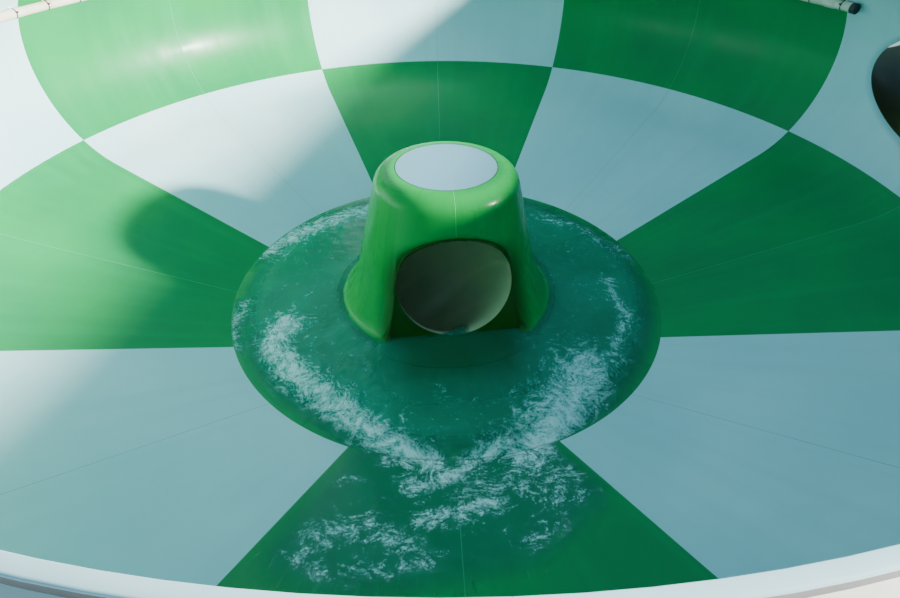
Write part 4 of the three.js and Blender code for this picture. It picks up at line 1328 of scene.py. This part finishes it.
def ringBolts(place, way):
    # heads on both sides of a ring joint, clear of the radial ribs
    count = bowl["panels"] * int(round(2 * np.pi * place[0] / seam["ringSpacing"] / bowl["panels"]))
    angles = (np.arange(count) + 0.5) * 360 / count
    return [standing(aroundAxis((place + s * seam["boltHalf"] * way)[None], angles)[:, 0],
                     aroundZ((s * way)[None], angles)[:, 0]) for s in (1, -1)]


def buildPanelBolts():
    # along every radial seam, round the joint of dish and wall, and round the floor's edge
    deep, half = seam["boltDepth"], seam["boltHalf"]
    (first, last, bendStep), (start, wallStep) = seam["bendBolts"], seam["wallBolts"]
    radii = np.arange(floorR + seam["dishBolts"], bendLine(0, bendStart)[0, 0], seam["boltSpacing"])
    bend = bendLine(deep, np.arange(first, jointAngle + last, bendStep))
    dishRows = np.concatenate([dishLine(deep, radii), bend])
    wallRows = bendLine(deep, np.arange(jointAngle + start, seam["ribTop"], wallStep))
    kept = {"dishBolts": [], "wallBolts": []}
    for i in range(bowl["panels"]):
        matrix = localFrame(i * bowl["panelAngle"])
        for rows, (name, places) in zip((dishRows, wallRows), kept.items()):
            for s in (1, -1):
                points = np.insert(rows, 1, s * half, 1) @ matrix[:3, :3].T + floorMiddle
                if name == "wallBolts" and i in (3, 4, 5):
                    points = points[entryPlace(points)[1] > entry["radius"] + seam["boltClear"]]
                if len(points):
                    places.append(standing(points, s * matrix[:3, 1]))
    kept["dishBolts"] += ringBolts(bendLine(deep, jointAngle)[0], ways(-jointAngle)[0])
    kept["dishBolts"] += ringBolts(np.array([floorR, -deep]), np.array([1.0, 0]))
    for name, places in kept.items():
        bolts = repeatPatch(boltPatch(0, 0.9), np.concatenate(places))
        makePiece(name, [bolts], [boltSteel])


# Water: the pool round the tower, the film on the near part of the dish, and the run into the exit

water = {"level": 0.045, "low": 0.0030, "fallOff": 0.5, "outer": 2.753, "inner": 1.30, "around": 540,
         "across": 58, "depth": 0.004, "waves": 48, "swell": 0.0022, "chop": 0.0030, "seed": 11,
         "filmRise": 0.0024, "filmRows": 44, "filmFirst": 156, "filmLast": 204, "filmStart": 2.742,
         "clear": (1.24, 1.50), "edge": (2.35, 2.752), "edgeEase": 0.02, "archHalf": 41, "archThin": 0.86,
         "filmEase": 0.30, "filmHalf": 22.6, "filmSides": 3, "runLength": 1.4, "runDepth": 0.024,
         "runShare": 0.8, "runFoam": 0.30, "runThins": 0.75, "ripple": 0.003, "rippleTurns": 23,
         "calmOver": 0.25, "calmLeast": 0.15, "swellLengths": (0.25, 1.1), "chopLengths": (0.09, 0.26),
         "filmLengths": (0.07, 0.3)}
# Foam runs: how far they spread, how dense they are, and plan angles and radii of their middles
foamRuns = [
    (0.23, 1.05, (250.9, 2.10), (242.2, 2.35), (226.7, 2.34), (207.7, 2.41), (191.1, 2.69), (184.6, 2.80)),
    (0.14, 0.68, (246.9, 2.75), (255.0, 2.75), (263.5, 2.62)),
    (0.27, 0.92, (288.5, 2.82), (305.2, 2.55), (318.9, 2.43), (328.9, 2.37)),
    (0.36, 1.08, (135.9, 2.17), (142.9, 2.31), (150.5, 2.42), (158.5, 2.60), (165.6, 2.83)),
    (0.11, 0.66, (87.9, 2.14), (101.7, 2.24), (107.7, 2.34), (125.7, 2.30)),
    (0.24, 0.74, (197.0, 4.11), (196.8, 3.89), (191.9, 3.66), (187.3, 3.81), (185.2, 3.94)),
    (0.15, 0.80, (197.2, 4.21), (193.1, 4.28), (189.2, 4.13), (184.2, 3.99)),
    (0.16, 1.0, (184.4, 3.55), (179.6, 3.46), (174.7, 3.36)),
    (0.17, 1.0, (187.1, 3.15), (182.1, 3.00), (175.9, 2.75), (169.1, 2.62)),
    (0.22, 0.76, (170.7, 3.86), (168.8, 3.95), (164.9, 3.77), (158.7, 3.51), (156.6, 3.17)),
    (0.30, 0.70, (178.1, 3.24), (171.0, 3.10), (166.5, 3.32), (160.6, 3.17)),
    (0.14, 0.64, (203.5, 2.72), (200.9, 3.23), (197.7, 3.16)),
    (0.16, 0.50, (39.4, 2.25), (55.5, 2.51), (77.0, 2.68)),
]
# How far out the film reaches at each plan angle
filmEdge = np.array([(156, 3.60), (171.7, 4.15), (182, 4.28), (192.8, 4.50), (204, 4.40)])


def waveHeight(points, shortest, longest, seed):
    # a sum of cosines in seeded directions, each as high as it is long, scaled to a spread of one
    made = np.random.default_rng(seed)
    lengths = np.exp(made.uniform(np.log(shortest), np.log(longest), water["waves"]))
    turns, shifts = made.uniform(0, 2 * np.pi, (2, water["waves"]))
    phase = points[..., :1] * (np.cos(turns) / lengths) + points[..., 1:2] * (np.sin(turns) / lengths)
    heights = lengths / lengths.max()
    return (heights * np.cos(2 * np.pi * phase + shifts)).sum(-1) / np.sqrt((heights ** 2).sum() / 2)


def polar(points):
    # the distance from the bowl's axis and the plan angle
    x, y = np.moveaxis(points[..., :2] - floorMiddle[:2], -1, 0)
    return np.hypot(x, y), np.degrees(np.arctan2(x, y)) % 360


def foamAt(points):
    # the densest of the runs at each point, each falling off as exp(-(distance / spread)^2)
    densest = 0
    for spread, dense, *places in foamRuns:
        angle, r = np.array(places).T
        distance = toLine(points[..., :2] - floorMiddle[:2], ways(angle) * r[:, None])
        densest = np.maximum(densest, dense * np.exp(-(distance / spread) ** 2))
    return densest


def filmReach(points):
    # 1 well inside the film, falling to 0 at its outer edge and towards the two white sectors
    r, angle = polar(points)
    edge = np.interp(angle, *filmEdge.T)
    aside = (water["filmHalf"] - np.abs(angle - 180)) / water["filmSides"]
    return np.clip((edge - r) / water["filmEase"], 0, 1) * np.clip(aside, 0, 1)


def poolReach(points):
    # clear over the tower's foot, less so in the arch, and clear again where it runs out over the dish
    r, angle = polar(points)
    (clear, full), (near, far) = water["clear"], water["edge"]
    inArch = np.abs(180 - cone["turn"] - angle) < water["archHalf"]
    # thinner over the painted shade on the floor before the arch
    share = np.maximum(smooth((r - clear) / (full - clear)), inArch)
    share *= 1 - water["archThin"] * shadeAheadOfArch(points)
    left = np.clip((far - r) / (far - near), 0, 1)
    return share * np.maximum(smooth(left), foamAt(points) * np.clip(left / water["edgeEase"], 0, 1))


def makeWater(name, faces, material, wrapRows=False, **marks):
    # a piece of water, with values worked out at its points
    piece = makePiece(name, [shell(*faces, innerMat=0, outerMat=0, wrapRows=wrapRows)], [material])
    for mark, values in marks.items():
        markPoints(piece, mark, values)
    return piece


def buildPool():
    # a level that falls towards the pool's edge, with swell and chop that calm down there
    angles = np.linspace(0, 360, water["around"] + 1)[:-1]
    off = angles - (180 - cone["turn"])
    mouth = (cone["mouthSetback"] - 0.018) / np.clip(np.cos(np.radians(off)), 0.1, None)
    inArch = np.abs((off + 180) % 360 - 180) < water["archHalf"] + 1
    first = np.where(inArch, np.minimum(water["inner"], mouth), water["inner"])
    r = np.linspace(first, water["outer"], water["across"], axis=-1)
    flat = floorMiddle[:2] + r[..., None] * ways(angles)[:, None]
    calm = np.clip((water["outer"] - r) / water["calmOver"], water["calmLeast"], 1)
    swell = waveHeight(flat, *water["swellLengths"], water["seed"])
    chop = waveHeight(flat, *water["chopLengths"], water["seed"] + 1) * (0.25 + foamAt(flat))
    lift = calm * (water["swell"] * swell + water["chop"] * chop)
    level = water["low"] + (water["level"] - water["low"]) * smooth((water["outer"] - r) / water["fallOff"])
    top = stacked(flat[..., 0], flat[..., 1], floorMiddle[2] + level + lift)
    pool = makeWater("poolWater", (top, top - [0, 0, water["depth"]]), poolSurface, True, foam=foamAt,
                     reach=poolReach)
    pool.visible_shadow = False


def buildFilm():
    # a thin sheet on the dish, its upper face lifted by its reach and by small waves
    angles = np.linspace(water["filmFirst"], water["filmLast"], 150)
    r = np.linspace(water["filmStart"], np.interp(angles, *filmEdge.T) + 0.03, water["filmRows"], axis=-1)
    flat = floorMiddle[:2] + r[..., None] * ways(angles)[:, None]
    dish = floorMiddle[2] + np.clip(r - floorR, 0, None) * np.tan(slope)
    waves = 0.6 + 0.4 * np.clip(waveHeight(flat, *water["filmLengths"], water["seed"] + 2), -1.4, 2.2)
    lift = 0.0005 + water["filmRise"] * filmReach(flat) * waves * (1 + 1.5 * foamAt(flat))
    faces = [stacked(flat[..., 0], flat[..., 1], dish + up) for up in (lift, 0.0002)]
    film = makeWater("dishWater", faces, filmSurface, foam=lambda points: foamAt(points) * filmReach(points),
                     reach=filmReach)
    film.visible_shadow = False


def buildRun():
    # the water's way over the sill: chords across the tube, shallower further down
    places = np.linspace(0, water["runLength"], 40)
    path = exitAt(places)
    ahead = unit(np.gradient(path, axis=0))
    level = unit(np.cross(ahead, [0, 0, 1.0]))
    down = np.cross(ahead, level)
    down *= -np.sign(down[:, 2:])
    depth = water["runDepth"] * (1 - water["runThins"] * places / water["runLength"])
    radius = cone["tubeRadius"] - 0.0005
    half = np.arccos(1 - depth / radius)
    share, low = np.linspace(-1, 1, 25), (radius - depth)[:, None]
    turn = half[:, None] * share
    ripple = water["ripple"] * np.sin(places * water["rippleTurns"])[:, None] * np.cos(share * np.pi / 2)
    flats = stacked(low * np.tan(turn), low + ripple), radius * stacked(np.sin(turn), np.cos(turn))
    faces = [carried(flat, path[:, None], level[:, None], down[:, None]) for flat in flats]

    def reach(points):
        # 1 - (sideways distance / half width)^2, taken at the nearest place of the path
        nearest = np.argmin(np.linalg.norm(points[:, None] - path, axis=-1), 1)
        sideways = ((points - path[nearest]) * level[nearest]).sum(-1)
        return np.clip(1 - (sideways / (radius * np.sin(half))[nearest]) ** 2, 0, 1) * water["runShare"]

    makeWater("exitWater", faces, poolSurface, reach=reach,
              foam=lambda points: np.full(len(points), water["runFoam"]))


for note, steps in (("tower", (buildTower,)), ("exit tube and spray pipe", (buildExit, buildSprayPipe)),
                    ("steel", (buildSteel,)), ("seams and bolts", (buildSeams, buildPanelBolts)),
                    ("water", (buildPool, buildFilm, buildRun))):
    for step in steps:
        step()
    print(note, "built")


# Camera at the photograph's place, given from the middle of the bowl floor

view = {"place": (-0.187, -6.294, 4.870), "pan": 2.1169, "tilt": 38.771, "roll": 0.1414, "lens": 24}


def buildCamera():
    # turned by the pan about Z, then tipped down by the tilt, then rolled about its own axis
    data = bpy.data.cameras.new("camera")
    data.lens, data.sensor_width, data.clip_end = view["lens"], 36, 200
    camera = placeObject("camera", data)
    turns = (-view["pan"], "Z"), (90 - view["tilt"], "X"), (view["roll"], "Z")
    matrix = Matrix.Translation(floorMiddle + view["place"])
    for angle, axis in turns:
        matrix = matrix @ Matrix.Rotation(np.radians(angle), 4, axis)
    camera.matrix_world = matrix
    bpy.context.scene.camera = camera


def addLight(name, place, target, size, power, colour):
    # a round lamp at a place, turned to face its target
    data = bpy.data.lights.new(name, "AREA")
    data.shape, data.size, data.energy, data.color = "DISK", size, power, colour
    light = placeObject(name, data)
    light.location = place
    light.rotation_euler = (Vector(target) - Vector(place)).to_track_quat("-Z", "Y").to_euler()


stage = {"reach": 60, "ground": (0.84, 0.74, 0.68, 1), "sky": (0.27, 0.72, 1.0, 1), "skyStrength": 0.66}
# Each lamp's place, target, size, power and colour
lamps = {"key": ((18, -5.5, 10.7), (-3.5, 1.5, 4.5), 1.5, 39000, (1.0, 0.97, 0.90)),
         "fill": ((-8, 12, 14), (-0.6, 0, 3), 10, 350, (0.80, 0.93, 1.0))}


def buildStage():
    # a wide pale ground, a soft sky, a strong lamp and a weak one
    corners = stage["reach"] * np.array([[-1, -1, 0], [1, -1, 0], [1, 1, 0], [-1, 1, 0]], float)
    ground = placeObject("ground", meshFrom("ground", patch(corners, np.array([[0, 1, 2, 3]]))))
    material, shader, _, _ = newMaterial("paleGround")
    feed(shader, {"Base Color": stage["ground"], "Roughness": 0.8})
    ground.data.materials.append(material)
    world = bpy.data.worlds.new("sky")
    world.use_nodes = True
    feed(world.node_tree.nodes["Background"], {"Color": stage["sky"], "Strength": stage["skyStrength"]})
    bpy.context.scene.world = world
    for name, settings in lamps.items():
        addLight(name, *settings)


buildCamera()
buildStage()
